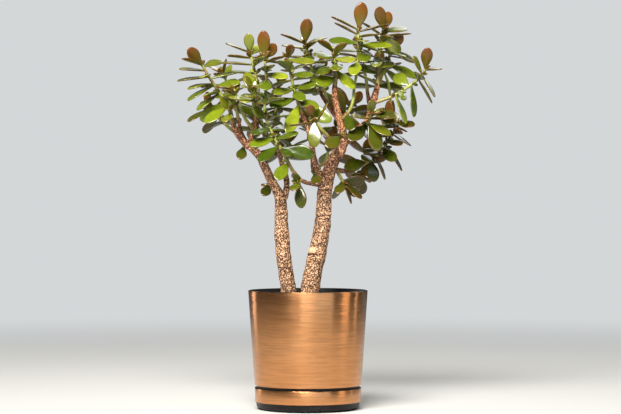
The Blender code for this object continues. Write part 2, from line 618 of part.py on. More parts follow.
def make_liner(collection, cutters, surface):
    """The black liner: its lower part plugs into the saucer, and its wall fills the copper sleeve."""
    inner = LINER_PLUG_RADIUS - WALL
    floor = LINER_FLOOR + WALL
    step = SLEEVE_FOOT - GAP
    rim_inner = wall_radius(POT_HEIGHT) - WALL
    rim_outer = wall_radius(POT_HEIGHT)
    profile = [
        (0, floor), (inner - ROUND, floor), (inner, floor + ROUND), (inner, step),
        (wall_radius(step + WALL) - WALL, step + WALL), (rim_inner, POT_HEIGHT - EDGE),
        (rim_inner + EDGE, POT_HEIGHT), (rim_outer - EDGE, POT_HEIGHT), (rim_outer, POT_HEIGHT - EDGE),
        (wall_radius(step), step), (LINER_PLUG_RADIUS, step), (LINER_PLUG_RADIUS, LINER_FLOOR + ROUND),
        (LINER_PLUG_RADIUS - ROUND, LINER_FLOOR), (0, LINER_FLOOR),
    ]
    liner = turned("pot_liner", profile, collection, surface)
    for i in range(DRAIN_HOLES):
        angle = math.tau * (i + 0.5) / DRAIN_HOLES
        place = (DRAIN_CIRCLE * math.cos(angle), DRAIN_CIRCLE * math.sin(angle), floor)
        bpy.ops.mesh.primitive_cylinder_add(
            vertices=DRAIN_SIDES, radius=DRAIN_RADIUS, depth=4 * WALL, location=place)
        cut_with(liner, bpy.context.object, f"drain_drill_{i + 1}", cutters)
    return liner


def make_saucer(collection, surface):
    """The black saucer, with a round foot and a well that the liner's lower part stands in."""
    inner = LINER_PLUG_RADIUS + 2 * GAP
    profile = [
        (0, SAUCER_FLOOR), (inner - ROUND, SAUCER_FLOOR), (inner, SAUCER_FLOOR + ROUND),
        (inner, SAUCER_HEIGHT), (SAUCER_RADIUS, SAUCER_HEIGHT), (SAUCER_RADIUS, BAND_FOOT - GAP),
        (SAUCER_RADIUS - 1.4 * MM, 8 * MM), (SAUCER_RADIUS - 3.2 * MM, 3.2 * MM),
        (FOOT_RADIUS + 1.2 * MM, 0.6 * MM), (FOOT_RADIUS, 0), (0, 0),
    ]
    return turned("saucer", profile, collection, surface)


def cut_with(obj, cutter, name, cutters):
    """Cuts one object with another, which goes to the cutters' collection, where no render shows it."""
    for collection in list(cutter.users_collection):
        collection.objects.unlink(cutter)
    cutters.objects.link(cutter)
    cutter.name = name
    cutter.hide_render = True
    cutter.display_type = "WIRE"
    cut = obj.modifiers.new(name, "BOOLEAN")
    cut.operation = "DIFFERENCE"
    cut.object = cutter


def make_soil(collection, cutters, surface):
    """Potting soil that fills the liner, with an uneven top and a plain hole for each trunk."""
    inner = LINER_PLUG_RADIUS - WALL - GAP
    floor = LINER_FLOOR + WALL + GAP
    step = SLEEVE_FOOT + WALL
    edge = SOIL_TOP - SOIL_SLOPE
    profile = [
        (0, SOIL_TOP), (26 * MM, SOIL_TOP), (52 * MM, SOIL_TOP - SOIL_SLOPE / 3),
        (wall_radius(edge) - WALL - GAP, edge), (wall_radius(step) - WALL - GAP, step + GAP),
        (inner, step - WALL - GAP), (inner, floor + ROUND), (inner - ROUND, floor), (0, floor),
    ]
    soil = turned("soil", profile, collection, surface)
    draw = random.Random(SEED)
    for vertex in soil.data.vertices:
        away = math.hypot(vertex.co.x, vertex.co.y)
        if vertex.co.z > SOIL_TOP - SOIL_SLOPE / 2 and away > 1 * MM:
            vertex.co.z += draw.uniform(-SOIL_LUMPS, SOIL_LUMPS)
    for name, knots in (("left", LEFT_TRUNK), ("right", RIGHT_TRUNK)):
        x, y, z, radius = in_metres(knots[0])
        wide = (radius + ROOT_PLAY) / math.cos(math.pi / HOLE_SIDES)
        bpy.ops.mesh.primitive_cylinder_add(
            vertices=HOLE_SIDES, radius=wide, depth=2 * ROOT_DEPTH, location=(x, y, z + ROOT_DEPTH - GAP))
        cut_with(soil, bpy.context.object, f"{name}_root_hole", cutters)
    return soil


def tube(name, stem, sides, collection):
    """A closed mesh tube along a stem, of its radius at each point."""
    curve = bpy.data.curves.new(name, "CURVE")
    curve.dimensions = "3D"
    curve.bevel_depth = MM
    curve.bevel_resolution = (sides - 4) // 2
    curve.use_fill_caps = True
    spline = curve.splines.new("POLY")
    spline.points.add(len(stem.points) - 1)
    for point, place, radius in zip(spline.points, stem.points, stem.radii):
        point.co = (*place, 1)
        point.radius = radius / MM
    guide = new_object(name, curve, collection)
    graph = bpy.context.evaluated_depsgraph_get()
    mesh = bpy.data.meshes.new_from_object(guide.evaluated_get(graph))
    bpy.data.objects.remove(guide)
    shape = bmesh.new()
    shape.from_mesh(mesh)
    bmesh.ops.remove_doubles(shape, verts=shape.verts, dist=0.01 * MM)
    bmesh.ops.recalc_face_normals(shape, faces=shape.faces)
    shape.to_mesh(mesh)
    shape.free()
    return new_object(name, mesh, collection)


def leaf_solid(name, leaf, collection):
    """A leaf with few faces: a small sphere, drawn out to a leaf from its root to its tip."""
    shape = bmesh.new()
    bmesh.ops.create_uvsphere(shape, u_segments=LEAF_SIDES, v_segments=LEAF_RINGS, radius=1)
    for vertex in shape.verts:
        x, y, z = vertex.co
        ring = math.hypot(x, y)
        s = ((1 - z) / 2) ** 0.8
        u, v = (x / ring, y / ring) if ring > 0.01 else (0, 0)
        vertex.co = on_leaf(leaf, s, u, v)
    bmesh.ops.recalc_face_normals(shape, faces=shape.faces)
    mesh = bpy.data.meshes.new(name)
    shape.to_mesh(mesh)
    shape.free()
    return new_object(name, mesh, collection)


def join_in_one(first, others, surface):
    """Makes one solid of a first piece and those in a collection, which grow from it."""
    join = first.modifiers.new("Grown together", "BOOLEAN")
    join.operation = "UNION"
    join.operand_type = "COLLECTION"
    join.collection = others
    bpy.context.view_layer.update()
    apply_modifiers(first)
    for obj in list(others.objects):
        bpy.data.objects.remove(obj)
    bpy.data.collections.remove(others)
    first.data.materials.clear()
    first.data.materials.append(surface)


def gathered(name):
    collection = bpy.data.collections.new(name)
    bpy.context.scene.collection.children.link(collection)
    return collection


def make_tree(name, woods, collection, surface):
    """A trunk and its woody limbs, in one solid."""
    limbs = gathered(f"{name} limbs")
    trunk = tube(name, woods[0], TRUNK_SIDES, collection)
    for i, wood in enumerate(woods[1:]):
        tube(f"{name}_limb_{i}", wood, LIMB_SIDES, limbs)
    join_in_one(trunk, limbs, surface)
    smooth_round(trunk.data)
    return trunk


def make_shoot(name, stem, leaves, collection, surface):
    """A leafy shoot: a stem with its leaves, in one solid."""
    blades = gathered(f"{name} leaves")
    last = len(stem.points) - 1
    kept = sorted({*range(0, last, 2), last})
    shape = Stem([stem.points[i] for i in kept], [stem.radii[i] for i in kept])
    stalk = tube(name, shape, SHOOT_SIDES, collection)
    for i, leaf in enumerate(leaves):
        leaf_solid(f"{name}_leaf_{i}", leaf, blades)
    join_in_one(stalk, blades, surface)
    return stalk


def main():
    clear_scene()
    bonsai = gathered("jade_bonsai")
    cutters = gathered("cutters")
    cutters.hide_render = True
    copper = material("copper", (0.80, 0.43, 0.22), 0.28, 1.0)
    black = material("black_plastic", (0.02, 0.02, 0.022), 0.45)
    earth = material("soil", (0.045, 0.03, 0.02), 0.95)
    bark = material("bark", (0.42, 0.27, 0.17), 0.85)
    green = material("leaf", (0.16, 0.27, 0.03), 0.3)
    make_liner(bonsai, cutters, black)
    thin_ring("copper_sleeve", RIM_RADIUS, SLEEVE_FOOT_RADIUS, SLEEVE_TOP, SLEEVE_FOOT, bonsai, copper)
    make_saucer(bonsai, black)
    thin_ring("copper_band", BAND_RADIUS, BAND_RADIUS, BAND_TOP, BAND_FOOT, bonsai, copper)
    make_soil(bonsai, cutters, earth)
    left, right, stems, leaves = grow()
    make_tree("trunk_left", left, bonsai, bark)
    make_tree("trunk_right", right, bonsai, bark)
    for name, stem in stems.items():
        make_shoot(name, stem, leaves[name], bonsai, green)
    print("leaves:", sum(len(found) for found in leaves.values()))


main()
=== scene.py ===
# %% [markdown]
# # A jade bonsai in its copper planter
#
# This lesson dresses a plain model of a potted jade plant. The model is loaded as a frame that is never moved.
# Each of its pieces is then replaced by a finer one of the same size and place, and gets a material.
# A jade plant is a good subject to learn on: it has a smooth metal pot, rough bark, and hundreds of leaves
# that are nearly, but never quite, alike.

import math
import random
from collections import namedtuple

import bmesh
import bpy
import numpy as np
from mathutils import Matrix, Vector, noise


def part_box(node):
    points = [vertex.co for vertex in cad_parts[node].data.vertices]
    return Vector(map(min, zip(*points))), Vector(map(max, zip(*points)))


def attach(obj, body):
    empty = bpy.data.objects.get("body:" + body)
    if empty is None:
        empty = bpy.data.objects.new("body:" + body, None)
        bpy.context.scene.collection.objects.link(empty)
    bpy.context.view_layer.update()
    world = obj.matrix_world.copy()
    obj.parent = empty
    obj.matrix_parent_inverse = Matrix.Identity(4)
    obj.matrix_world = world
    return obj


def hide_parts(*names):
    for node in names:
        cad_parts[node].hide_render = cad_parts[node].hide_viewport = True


MM = 0.001
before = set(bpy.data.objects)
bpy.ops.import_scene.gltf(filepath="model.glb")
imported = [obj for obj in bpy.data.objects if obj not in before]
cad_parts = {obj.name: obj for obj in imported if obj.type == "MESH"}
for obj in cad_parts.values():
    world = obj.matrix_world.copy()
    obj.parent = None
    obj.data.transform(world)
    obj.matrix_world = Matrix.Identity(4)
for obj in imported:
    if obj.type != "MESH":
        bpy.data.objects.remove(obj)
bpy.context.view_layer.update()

# %% [markdown]
# ## The camera
#
# A plant is mostly seen from a few steps away, and from there a long lens shows it without stretching it.
# The camera stands level, a little under three metres in front, so that upright things stay upright in the
# picture. A small shift of the lens, and no tilt, puts the plant at the right height in the frame.

# %% Place the camera
CAMERA_PLACE = (3.5 * MM, -2.9022, 0.2746)
FOCAL_LENGTH = 121.74
SENSOR_WIDTH = 36
LENS_SHIFT = 0.0048

lens = bpy.data.cameras.new("camera")
lens.sensor_width = SENSOR_WIDTH
lens.lens = FOCAL_LENGTH
lens.shift_y = LENS_SHIFT
camera = bpy.data.objects.new("camera", lens)
camera.location = CAMERA_PLACE
camera.rotation_euler = (math.radians(90), 0, 0)
bpy.context.scene.collection.objects.link(camera)
bpy.context.scene.camera = camera
print("camera at", [round(c, 3) for c in camera.location])

# %% [markdown]
# ## Soft light
#
# Polished copper shows hardly any colour of its own. What it shows is the room, squeezed sideways by the round
# wall, so the lamps are placed for the copper first. Each large soft lamp becomes one upright bright band,
# and each gap between two lamps becomes a dark one. The copper tells where each lamp has to stand: a glint that
# is to lie x to the side of a round wall comes from a lamp twice as far round as that point of the wall faces.
# The strongest lamp stands to the front left and high up, which also gives the leaves their white glints. Its
# light is kept in a narrow beam, so that the floor stays darker further out and the copper has a dark part.

# %% A helper that hangs a lamp
LOOK_AT = Vector((0, 0, 0.3))
POT = Vector((0, 0, 0.1))
WALL_RADIUS = 80


def soft_lamp(name, place, width, height, power, colour, aim=LOOK_AT, beam=180):
    """A rectangular lamp that faces the plant."""
    light = bpy.data.lights.new(name, "AREA")
    light.shape = "RECTANGLE"
    light.size = width
    light.size_y = height
    light.energy = power
    light.color = colour
    light.spread = math.radians(beam)
    lamp = bpy.data.objects.new(name, light)
    lamp.location = place
    lamp.rotation_euler = (aim - Vector(place)).to_track_quat("-Z", "Y").to_euler()
    bpy.context.scene.collection.objects.link(lamp)
    return lamp


def seen_in_copper(x, distance, height):
    """Where a lamp has to stand so that its glint lies x millimetres to the right of the sleeve's middle."""
    way_round = 2 * math.asin(x / WALL_RADIUS)
    return (math.sin(way_round) * distance, -math.cos(way_round) * distance, height)


print("a glint 50 mm to the right needs a lamp at", [round(c, 2) for c in seen_in_copper(50, 2.0, 0.6)])

# %% Hang the lamps
# Each line says a lamp's name, place, width and height in metres, power in watts, and colour.
soft_lamp("key lamp", (-0.54, -2.18, 2.05), 2.1, 1.1, 56, (1.0, 0.96, 0.88), beam=75)
soft_lamp("front lamp", seen_in_copper(12, 3.2, 0.40), 4.0, 0.25, 15, (0.80, 0.91, 1.0), POT)
soft_lamp("left lamp", seen_in_copper(-72, 2.0, 0.6), 0.5, 1.6, 5, (1.0, 0.86, 0.74), POT)
soft_lamp("right lamp", seen_in_copper(50, 2.0, 0.6), 0.6, 1.6, 5, (1.0, 0.82, 0.62), POT)
soft_lamp("slit lamp", seen_in_copper(64, 2.0, 0.6), 0.14, 1.6, 1.4, (1.0, 0.93, 0.86), POT)
soft_lamp("cool lamp", seen_in_copper(75, 2.0, 0.6), 0.8, 1.6, 0.4, (0.25, 0.75, 1.0), POT)
soft_lamp("back lamp", (0.7, 1.9, 1.9), 2.0, 1.6, 4, (0.95, 0.97, 1.0), beam=75)

# %% [markdown]
# ## The room
#
# The room around the plant is one even pale grey. Seen as a background it is bright, and as a light it is dim,
# or it would wash out the shadows between the leaves and the dark parts of the copper. A Light Path node tells
# the two apart.

# %% Paint the room
ROOM_SEEN = (0.66, 0.68, 0.69, 1)
ROOM_LIGHT = (0.08, 0.08, 0.08, 1)

room = bpy.data.worlds.new("pale room")
room.use_nodes = True
room_tree = room.node_tree
seen = room_tree.nodes.new("ShaderNodeLightPath")
either = room_tree.nodes.new("ShaderNodeMixRGB")
either.inputs["Color1"].default_value = ROOM_LIGHT
either.inputs["Color2"].default_value = ROOM_SEEN
room_tree.links.new(seen.outputs["Is Camera Ray"], either.inputs["Fac"])
room_tree.links.new(either.outputs["Color"], room_tree.nodes["Background"].inputs["Color"])
bpy.context.scene.world = room
bpy.context.scene.view_settings.view_transform = "Standard"
print("room nodes:", len(room_tree.nodes))

# %% [markdown]
# ## Objects and materials
#
# Every piece ends in the same way: its bmesh becomes an object that sits at the origin and wears a material.
# Edges sharper than forty degrees stay crisp, and all others are shaded smooth. Every material starts in the
# same way too, with one Principled shader, a colour and a roughness.

# %% Helpers that finish an object and start a material
SHARP = math.radians(40)


def finish_object(name, shape, *surfaces, smooth=True):
    """Turns a bmesh into an object that sits at the origin and wears the given materials."""
    mesh = bpy.data.meshes.new(name)
    shape.to_mesh(mesh)
    shape.free()
    for surface in surfaces:
        mesh.materials.append(surface)
    if smooth:
        mesh.shade_smooth()
        mesh.set_sharp_from_angle(angle=SHARP)
    piece = bpy.data.objects.new(name, mesh)
    bpy.context.scene.collection.objects.link(piece)
    return piece


def plain_material(name, colour, roughness):
    """A material with its Principled shader, ready for more nodes."""
    made = bpy.data.materials.new(name)
    made.use_nodes = True
    shader = made.node_tree.nodes["Principled BSDF"]
    shader.inputs["Base Color"].default_value = (*colour, 1)
    shader.inputs["Roughness"].default_value = roughness
    return made, shader


print("edges stay crisp from", round(math.degrees(SHARP)), "degrees")

# %% [markdown]
# ## Small tools for shader nodes
#
# Every material below is a small net of nodes. One helper adds a node, sets its values and plugs in what comes
# before it. The others wrap the nodes that are used most, so that a net reads from top to bottom like a recipe.

# %% Helpers that add nodes
def add_node(tree, kind, inputs=None, **settings):
    """Adds a shader node. An input may be a number, a colour, or the output of another node."""
    node = tree.nodes.new("ShaderNode" + kind)
    for key, value in settings.items():
        setattr(node, key, value)
    for key, value in (inputs or {}).items():
        if isinstance(value, bpy.types.NodeSocket):
            tree.links.new(value, node.inputs[key])
        else:
            node.inputs[key].default_value = value
    return node


def attribute(tree, label):
    """The number that each point of a mesh carries under this name."""
    return add_node(tree, "Attribute", attribute_name=label).outputs["Fac"]


def product(tree, first, second):
    """One value times another."""
    return add_node(tree, "Math", {0: first, 1: second}, operation="MULTIPLY").outputs[0]


def between(tree, share, first, second):
    """A value between two others: the first where the share is 0, and the second where it is 1."""
    return add_node(tree, "Mix", {0: share, 2: first, 3: second}).outputs[0]


def remap(tree, value, before=(0, 1), after=(0, 1), **settings):
    """Carries a value from one range over to another."""
    ends = {"From Min": before[0], "From Max": before[1], "To Min": after[0], "To Max": after[1]}
    return add_node(tree, "MapRange", {"Value": value, **ends}, **settings).outputs["Result"]


print("value helpers ready")

# %% Helpers that mix colours
def ramp(tree, value, stops):
    """A colour ramp: each stop is a place from 0 to 1 and a colour or a grey."""
    node = add_node(tree, "ValToRGB", {"Fac": value})
    while len(node.color_ramp.elements) < len(stops):
        node.color_ramp.elements.new(0.5)
    for element, (place, colour) in zip(node.color_ramp.elements, stops):
        element.position = place
        element.color = (*colour, 1) if isinstance(colour, tuple) else (colour, colour, colour, 1)
    return node.outputs["Color"]


def blend(tree, share, first, second, mode="MIX"):
    """Mixes two colours, or multiplies one with the other."""
    node = add_node(tree, "MixRGB", {"Fac": share, "Color1": first, "Color2": second}, blend_type=mode)
    return node.outputs["Color"]


print("colour helpers ready")

# %% [markdown]
# ## The floor
#
# The floor is only there to catch a soft shadow. It is one wide round sheet of paper, open on all sides, so that
# the plant can be walked around. Its far edge would still show as a line behind the plant. So the paper fades
# into the colour of the room with the distance from the plant, and only for the eye of the camera.

# %% Lay the floor
PAPER = (0.50, 0.51, 0.51)
FADE = (0.4, 2.6)
FLOOR_RADIUS = 14


def make_paper():
    """Pale paper that fades into the colour of the room with distance."""
    made, shader = plain_material("studio paper", PAPER, 0.9)
    tree = made.node_tree
    place = add_node(tree, "TexCoord").outputs["Object"]
    distance = add_node(tree, "VectorMath", {0: place}, operation="LENGTH").outputs["Value"]
    far = remap(tree, distance, FADE, interpolation_type="SMOOTHSTEP")
    camera_ray = add_node(tree, "LightPath").outputs["Is Camera Ray"]
    glow = add_node(tree, "Emission", {"Color": ROOM_SEEN}).outputs[0]
    mixed = add_node(tree, "MixShader", {0: product(tree, far, camera_ray), 1: shader.outputs[0], 2: glow})
    tree.links.new(mixed.outputs[0], tree.nodes["Material Output"].inputs["Surface"])
    return made


sheet = bmesh.new()
bmesh.ops.create_circle(sheet, cap_ends=True, segments=96, radius=FLOOR_RADIUS)
floor = finish_object("floor", sheet, make_paper())
print("floor corners:", len(floor.data.vertices))

# %% [markdown]
# ## Grain that several surfaces share
#
# Bark, soil, leaves, copper and moulded plastic all have a fine grain, and only its size and stretch differ. So
# the grain is one node group with a size and a stretch, placed in each material with its own values. It layers a
# coarse noise and one three times finer, because a single noise looks like clouds at every distance.

# %% Build the grain group
FINER = 3.1


def group_of(name, inputs, outputs):
    """An empty node group with its sockets, and the nodes that its inputs and outputs are plugged into."""
    tree = bpy.data.node_groups.new(name, "ShaderNodeTree")
    for label, value in inputs.items():
        kind = "NodeSocketVector" if isinstance(value, tuple) else "NodeSocketFloat"
        tree.interface.new_socket(label, in_out="INPUT", socket_type=kind).default_value = value
    for label in outputs:
        tree.interface.new_socket(label, in_out="OUTPUT", socket_type="NodeSocketFloat")
    return tree, tree.nodes.new("NodeGroupInput"), tree.nodes.new("NodeGroupOutput")


def build_grain():
    """Layered noise, sized in grains a metre and stretched along each axis."""
    inputs = {"Grains": 400.0, "Stretch": (1.0, 1.0, 1.0), "Fine Share": 0.4}
    tree, start, end = group_of("grain", inputs, ["Height"])
    place = add_node(tree, "TexCoord").outputs["Object"]
    stretched = add_node(tree, "VectorMath", {0: place, 1: start.outputs["Stretch"]}, operation="MULTIPLY")
    sizes = (start.outputs["Grains"], product(tree, start.outputs["Grains"], FINER))
    coarse, fine = (add_node(tree, "TexNoise", {"Vector": stretched.outputs[0], "Scale": size, "Detail": 2.0})
                    for size in sizes)
    height = between(tree, start.outputs["Fine Share"], coarse.outputs["Fac"], fine.outputs["Fac"])
    tree.links.new(height, end.inputs["Height"])
    return tree


GRAIN = build_grain()
print("grain group nodes:", len(GRAIN.nodes))

# %% Use the grain
def grain(tree, grains, stretch=(1.0, 1.0, 1.0), fine_share=0.4):
    """Places the grain group in a material and gives its height."""
    node = tree.nodes.new("ShaderNodeGroup")
    node.node_tree = GRAIN
    node.inputs["Grains"].default_value = grains
    node.inputs["Stretch"].default_value = stretch
    node.inputs["Fine Share"].default_value = fine_share
    return node.outputs["Height"]


def roughen(tree, shader, height, depth, strength=1.0, under=None):
    """Bumps a surface by a height from 0 to 1, so many metres deep, on top of an earlier bump."""
    bump = add_node(tree, "Bump", {"Height": height, "Distance": depth, "Strength": strength})
    if under:
        tree.links.new(under, bump.inputs["Normal"])
    tree.links.new(bump.outputs["Normal"], shader.inputs["Normal"])
    return bump.outputs["Normal"]


print("grain sockets:", [item.name for item in GRAIN.interface.items_tree])

# %% [markdown]
# ## Brushed copper
#
# The sheet is brushed round and round, so fine lines run level around the wall. Such lines pull every glint up
# and down into a tall streak. Part of that comes from the shader's anisotropy, which needs to know which way
# the lines run, and part from lines that can be seen: noise that is squeezed many times in height, which darkens
# the copper and leans its normal to either side. Handling leaves faint dull patches, and the colour drifts a
# little between orange and pink.

# %% Mix the copper
ORANGE_COPPER = (0.64, 0.275, 0.100, 1)
PINK_COPPER = (0.64, 0.32, 0.150, 1)
SWAY = 0.045


def lean_normal(tree, around, lines):
    """The surface's normal, leaned a little to either side from one brushed line to the next."""
    sway = remap(tree, lines, (0.3, 0.7), (-SWAY, SWAY))
    aside = add_node(tree, "VectorMath", {0: around, "Scale": sway}, operation="SCALE").outputs[0]
    facing = add_node(tree, "NewGeometry").outputs["Normal"]
    leaned = add_node(tree, "VectorMath", {0: facing, 1: aside}, operation="ADD").outputs[0]
    return add_node(tree, "VectorMath", {0: leaned}, operation="NORMALIZE").outputs[0]


def make_copper():
    """Copper that is brushed round the upright axis."""
    made, shader = plain_material("brushed copper", (0.80, 0.43, 0.25), 0.3)
    tree = made.node_tree
    lines = grain(tree, 22.0, (1.0, 1.0, 24.0), 0.45)
    patches = grain(tree, 14.0, (1.0, 1.0, 1.6), 0.3)
    colour = blend(tree, patches, ORANGE_COPPER, PINK_COPPER)
    streaks = ramp(tree, lines, [(0.38, 0.74), (0.60, 1.0)])
    tree.links.new(blend(tree, 1.0, colour, streaks, "MULTIPLY"), shader.inputs["Base Color"])
    tree.links.new(remap(tree, patches, (0.3, 0.7), (0.20, 0.27)), shader.inputs["Roughness"])
    shader.inputs["Metallic"].default_value = 1.0
    shader.inputs["Anisotropic"].default_value = 0.75
    shader.inputs["Anisotropic Rotation"].default_value = 0.25
    around = add_node(tree, "Tangent", direction_type="RADIAL", axis="Z").outputs["Tangent"]
    tree.links.new(around, shader.inputs["Tangent"])
    tree.links.new(lean_normal(tree, around, lines), shader.inputs["Normal"])
    return made


COPPER = make_copper()
print("copper nodes:", len(COPPER.node_tree.nodes))

# %% [markdown]
# ## Black plastic
#
# The liner and the saucer are moulded plastic. It is nearly black, with a fine even grain from the mould, and it
# is a touch greyer and duller where dust and water have settled.

# %% Mix the plastic
CLEAN_BLACK = (0.004, 0.004, 0.0045, 1)
DUSTY_BLACK = (0.014, 0.013, 0.012, 1)


def make_plastic():
    """Black plastic with the grain of its mould and a little dust."""
    made, shader = plain_material("black plastic", (0.010, 0.010, 0.011), 0.42)
    tree = made.node_tree
    dust = ramp(tree, grain(tree, 35.0, (1.0, 1.0, 2.5)), [(0.45, 0.0), (0.75, 1.0)])
    tree.links.new(blend(tree, dust, CLEAN_BLACK, DUSTY_BLACK), shader.inputs["Base Color"])
    tree.links.new(remap(tree, dust, after=(0.36, 0.58)), shader.inputs["Roughness"])
    shader.inputs["Specular IOR Level"].default_value = 0.2
    roughen(tree, shader, grain(tree, 1800.0), 0.05 * MM, 0.6)
    return made


PLASTIC = make_plastic()
print("plastic nodes:", len(PLASTIC.node_tree.nodes))

# %% [markdown]
# ## Potting soil
#
# Soil is a mix of dark peat, brown bark chips and a few pale grains. The mesh gives the crumbs their shape, and
# an attribute called "crumb" says what each of them is: peat near 0, bark near the middle, pale grain at 1.

# %% Mix the soil
PEAT_TO_GRAIN = [(0.0, (0.032, 0.021, 0.014)), (0.45, (0.075, 0.045, 0.026)),
                 (0.8, (0.17, 0.10, 0.055)), (1.0, (0.55, 0.50, 0.42))]


def make_earth():
    """Damp soil, coloured by the kind of its crumbs."""
    made, shader = plain_material("potting soil", (0.05, 0.032, 0.02), 0.95)
    tree = made.node_tree
    kinds = ramp(tree, attribute(tree, "crumb"), PEAT_TO_GRAIN)
    damp = ramp(tree, grain(tree, 260.0), [(0.3, 0.45), (0.75, 1.0)])
    tree.links.new(blend(tree, 1.0, kinds, damp, "MULTIPLY"), shader.inputs["Base Color"])
    roughen(tree, shader, grain(tree, 900.0), 0.6 * MM)
    return made


EARTH = make_earth()
print("soil nodes:", len(EARTH.node_tree.nodes))

# %% [markdown]
# ## Bark
#
# Old jade wood is covered in small corky flakes, beige on top and dark brown in the cracks between them, and
# the colour paints this partly as the bark's own specks and partly as painted highlight and painted shade. The
# mesh carries the relief, and two attributes tell the material about it: "height" is low in the cracks and high
# on the flakes, and "youth" rises along the limbs, where the bark is thinner, redder and smoother. A third one,
# "scar_and_shade", is high on the pale lips where branches were cut, low in the grooves under them, which it
# paints dark as shade, and halfway everywhere else. The finest specks are smaller than the mesh can hold, so
# noise paints and bumps them together.

# %% Mix the bark
# Bark colours from crack to flake top, which also paint shade in the cracks and a highlight on the flakes.
OLD_BARK_AND_SHADE = [(0.425, (0.030, 0.011, 0.005)), (0.48, (0.14, 0.062, 0.028)),
            (0.53, (0.39, 0.220, 0.122)), (0.62, (0.70, 0.48, 0.305))]
YOUNG_BARK_AND_SHADE = [(0.415, (0.034, 0.010, 0.004)), (0.475, (0.16, 0.053, 0.020)),
              (0.54, (0.39, 0.156, 0.064)), (0.63, (0.64, 0.36, 0.185))]
BARK_DRIFT = [(0.3, (1.0, 0.86, 0.78)), (0.7, (0.92, 0.98, 1.0))]
SCAR_AND_SHADE_SHIFT = 0.11


def make_bark():
    """Corky bark, pale on its flakes and dark in its cracks: partly its own colour, partly painted highlight and
    shade.
    """
    made, shader = plain_material("corky bark", (0.42, 0.27, 0.17), 0.8)
    tree = made.node_tree
    specks = grain(tree, 520.0, (1.0, 1.0, 1.1), 0.15)
    # Painted light: flakes are paler and cracks darker, partly the bark's own specks and partly painted
    # highlight and shade.
    flakes = between(tree, 0.80, attribute(tree, "height"), specks)
    # Scar lips and the cut are painted pale, and the grooves under them darker as painted shade.
    scar_and_groove_shade = remap(tree, attribute(tree, "scar_and_shade"), after=(-SCAR_AND_SHADE_SHIFT, SCAR_AND_SHADE_SHIFT))
    level = add_node(tree, "Math", {0: flakes, 1: scar_and_groove_shade}, operation="ADD").outputs[0]
    colour = blend(tree, attribute(tree, "youth"), ramp(tree, level, OLD_BARK_AND_SHADE), ramp(tree, level, YOUNG_BARK_AND_SHADE))
    drift = ramp(tree, grain(tree, 45.0), BARK_DRIFT)
    tree.links.new(blend(tree, 0.6, colour, drift, "MULTIPLY"), shader.inputs["Base Color"])
    tree.links.new(remap(tree, level, (0.35, 0.65), (0.92, 0.62)), shader.inputs["Roughness"])
    roughen(tree, shader, specks, 0.9 * MM, 0.9)
    return made


BARK = make_bark()
print("bark nodes:", len(BARK.node_tree.nodes))

# %% [markdown]
# ## The colours of a leaf
#
# The upper side of a jade leaf runs from deep green to yellow green, its margin is often drawn in red, and
# strong sun turns the underside of young leaves a coppery brown. Each leaf carries its own numbers for this as
# attributes: "tone_and_shade" for how light it is, partly at random and partly as painted sun and shade, "blush"
# for how red, "margin" for how near the edge a point is, "under" for the side that it is on, and "along" for
# the way from root to tip, because the red starts at the tip. The material only has to mix what they say.

# %% Mix the colours of a leaf
UPPER_GREEN = [(0.14, (0.008, 0.016, 0.001)), (0.42, (0.046, 0.076, 0.004)),
               (0.66, (0.150, 0.195, 0.008)), (0.92, (0.38, 0.42, 0.030))]
LOWER_GREEN = [(0.2, (0.034, 0.050, 0.006)), (0.8, (0.17, 0.20, 0.024))]
OLIVE_TO_RED = [(0.30, (0.090, 0.078, 0.008)), (0.50, (0.100, 0.060, 0.007)), (0.75, (0.135, 0.044, 0.008))]
RED_MARGIN = (0.13, 0.045, 0.013, 1)
LEAF_DOTS = [(0.42, 0.86), (0.60, 1.0), (0.70, 1.12)]


def leaf_colour(tree, cloudy):
    """Green above, paler below, with painted sun and shade, flushed and edged with red as the leaf's numbers
    say.
    """
    tone_and_shade, blush, margin, under, along = (
        attribute(tree, label) for label in ("tone_and_shade", "blush", "margin", "under", "along"))
    # The lightness mixes random cloud with tone_and_shade, which carries painted sun and painted shade.
    light = between(tree, 0.35, tone_and_shade, cloudy)
    skin = blend(tree, under, ramp(tree, light, UPPER_GREEN), ramp(tree, light, LOWER_GREEN))
    flushed = ramp(tree, between(tree, 0.45, along, cloudy), OLIVE_TO_RED)
    skin = blend(tree, product(tree, blush, remap(tree, under, after=(0.30, 1.0))), skin, flushed)
    edge = remap(tree, margin, (0.84, 0.99), interpolation_type="SMOOTHSTEP")
    edge_depth = remap(tree, blush, (0, 0.4), (0.30, 0.85))
    skin = blend(tree, product(tree, edge, edge_depth), skin, RED_MARGIN)
    return blend(tree, 1.0, skin, ramp(tree, grain(tree, 1500.0), LEAF_DOTS), "MULTIPLY")


print("greens run over", len(UPPER_GREEN), "stops")

# %% [markdown]
# ## Wax on the leaves
#
# A jade leaf is fleshy and glossy. The wax on its upper side is a clear coat of its own, which gives the white
# glints without making the green below it pale. Old leaves in the shade have lost most of it. A soft swelling
# and a fine grain, one bump on top of the other, break up the glints. The green stem between the leaves has no
# such wax, and turns brown where leaves have stood.

# %% Wax the leaf and paint the stem
STEM_GREEN = [(0.3, (0.13, 0.17, 0.022)), (0.55, (0.27, 0.31, 0.06)), (0.75, (0.42, 0.42, 0.13))]
STEM_BROWN = [(0.3, (0.10, 0.040, 0.018)), (0.55, (0.27, 0.125, 0.050)), (0.75, (0.46, 0.27, 0.12))]


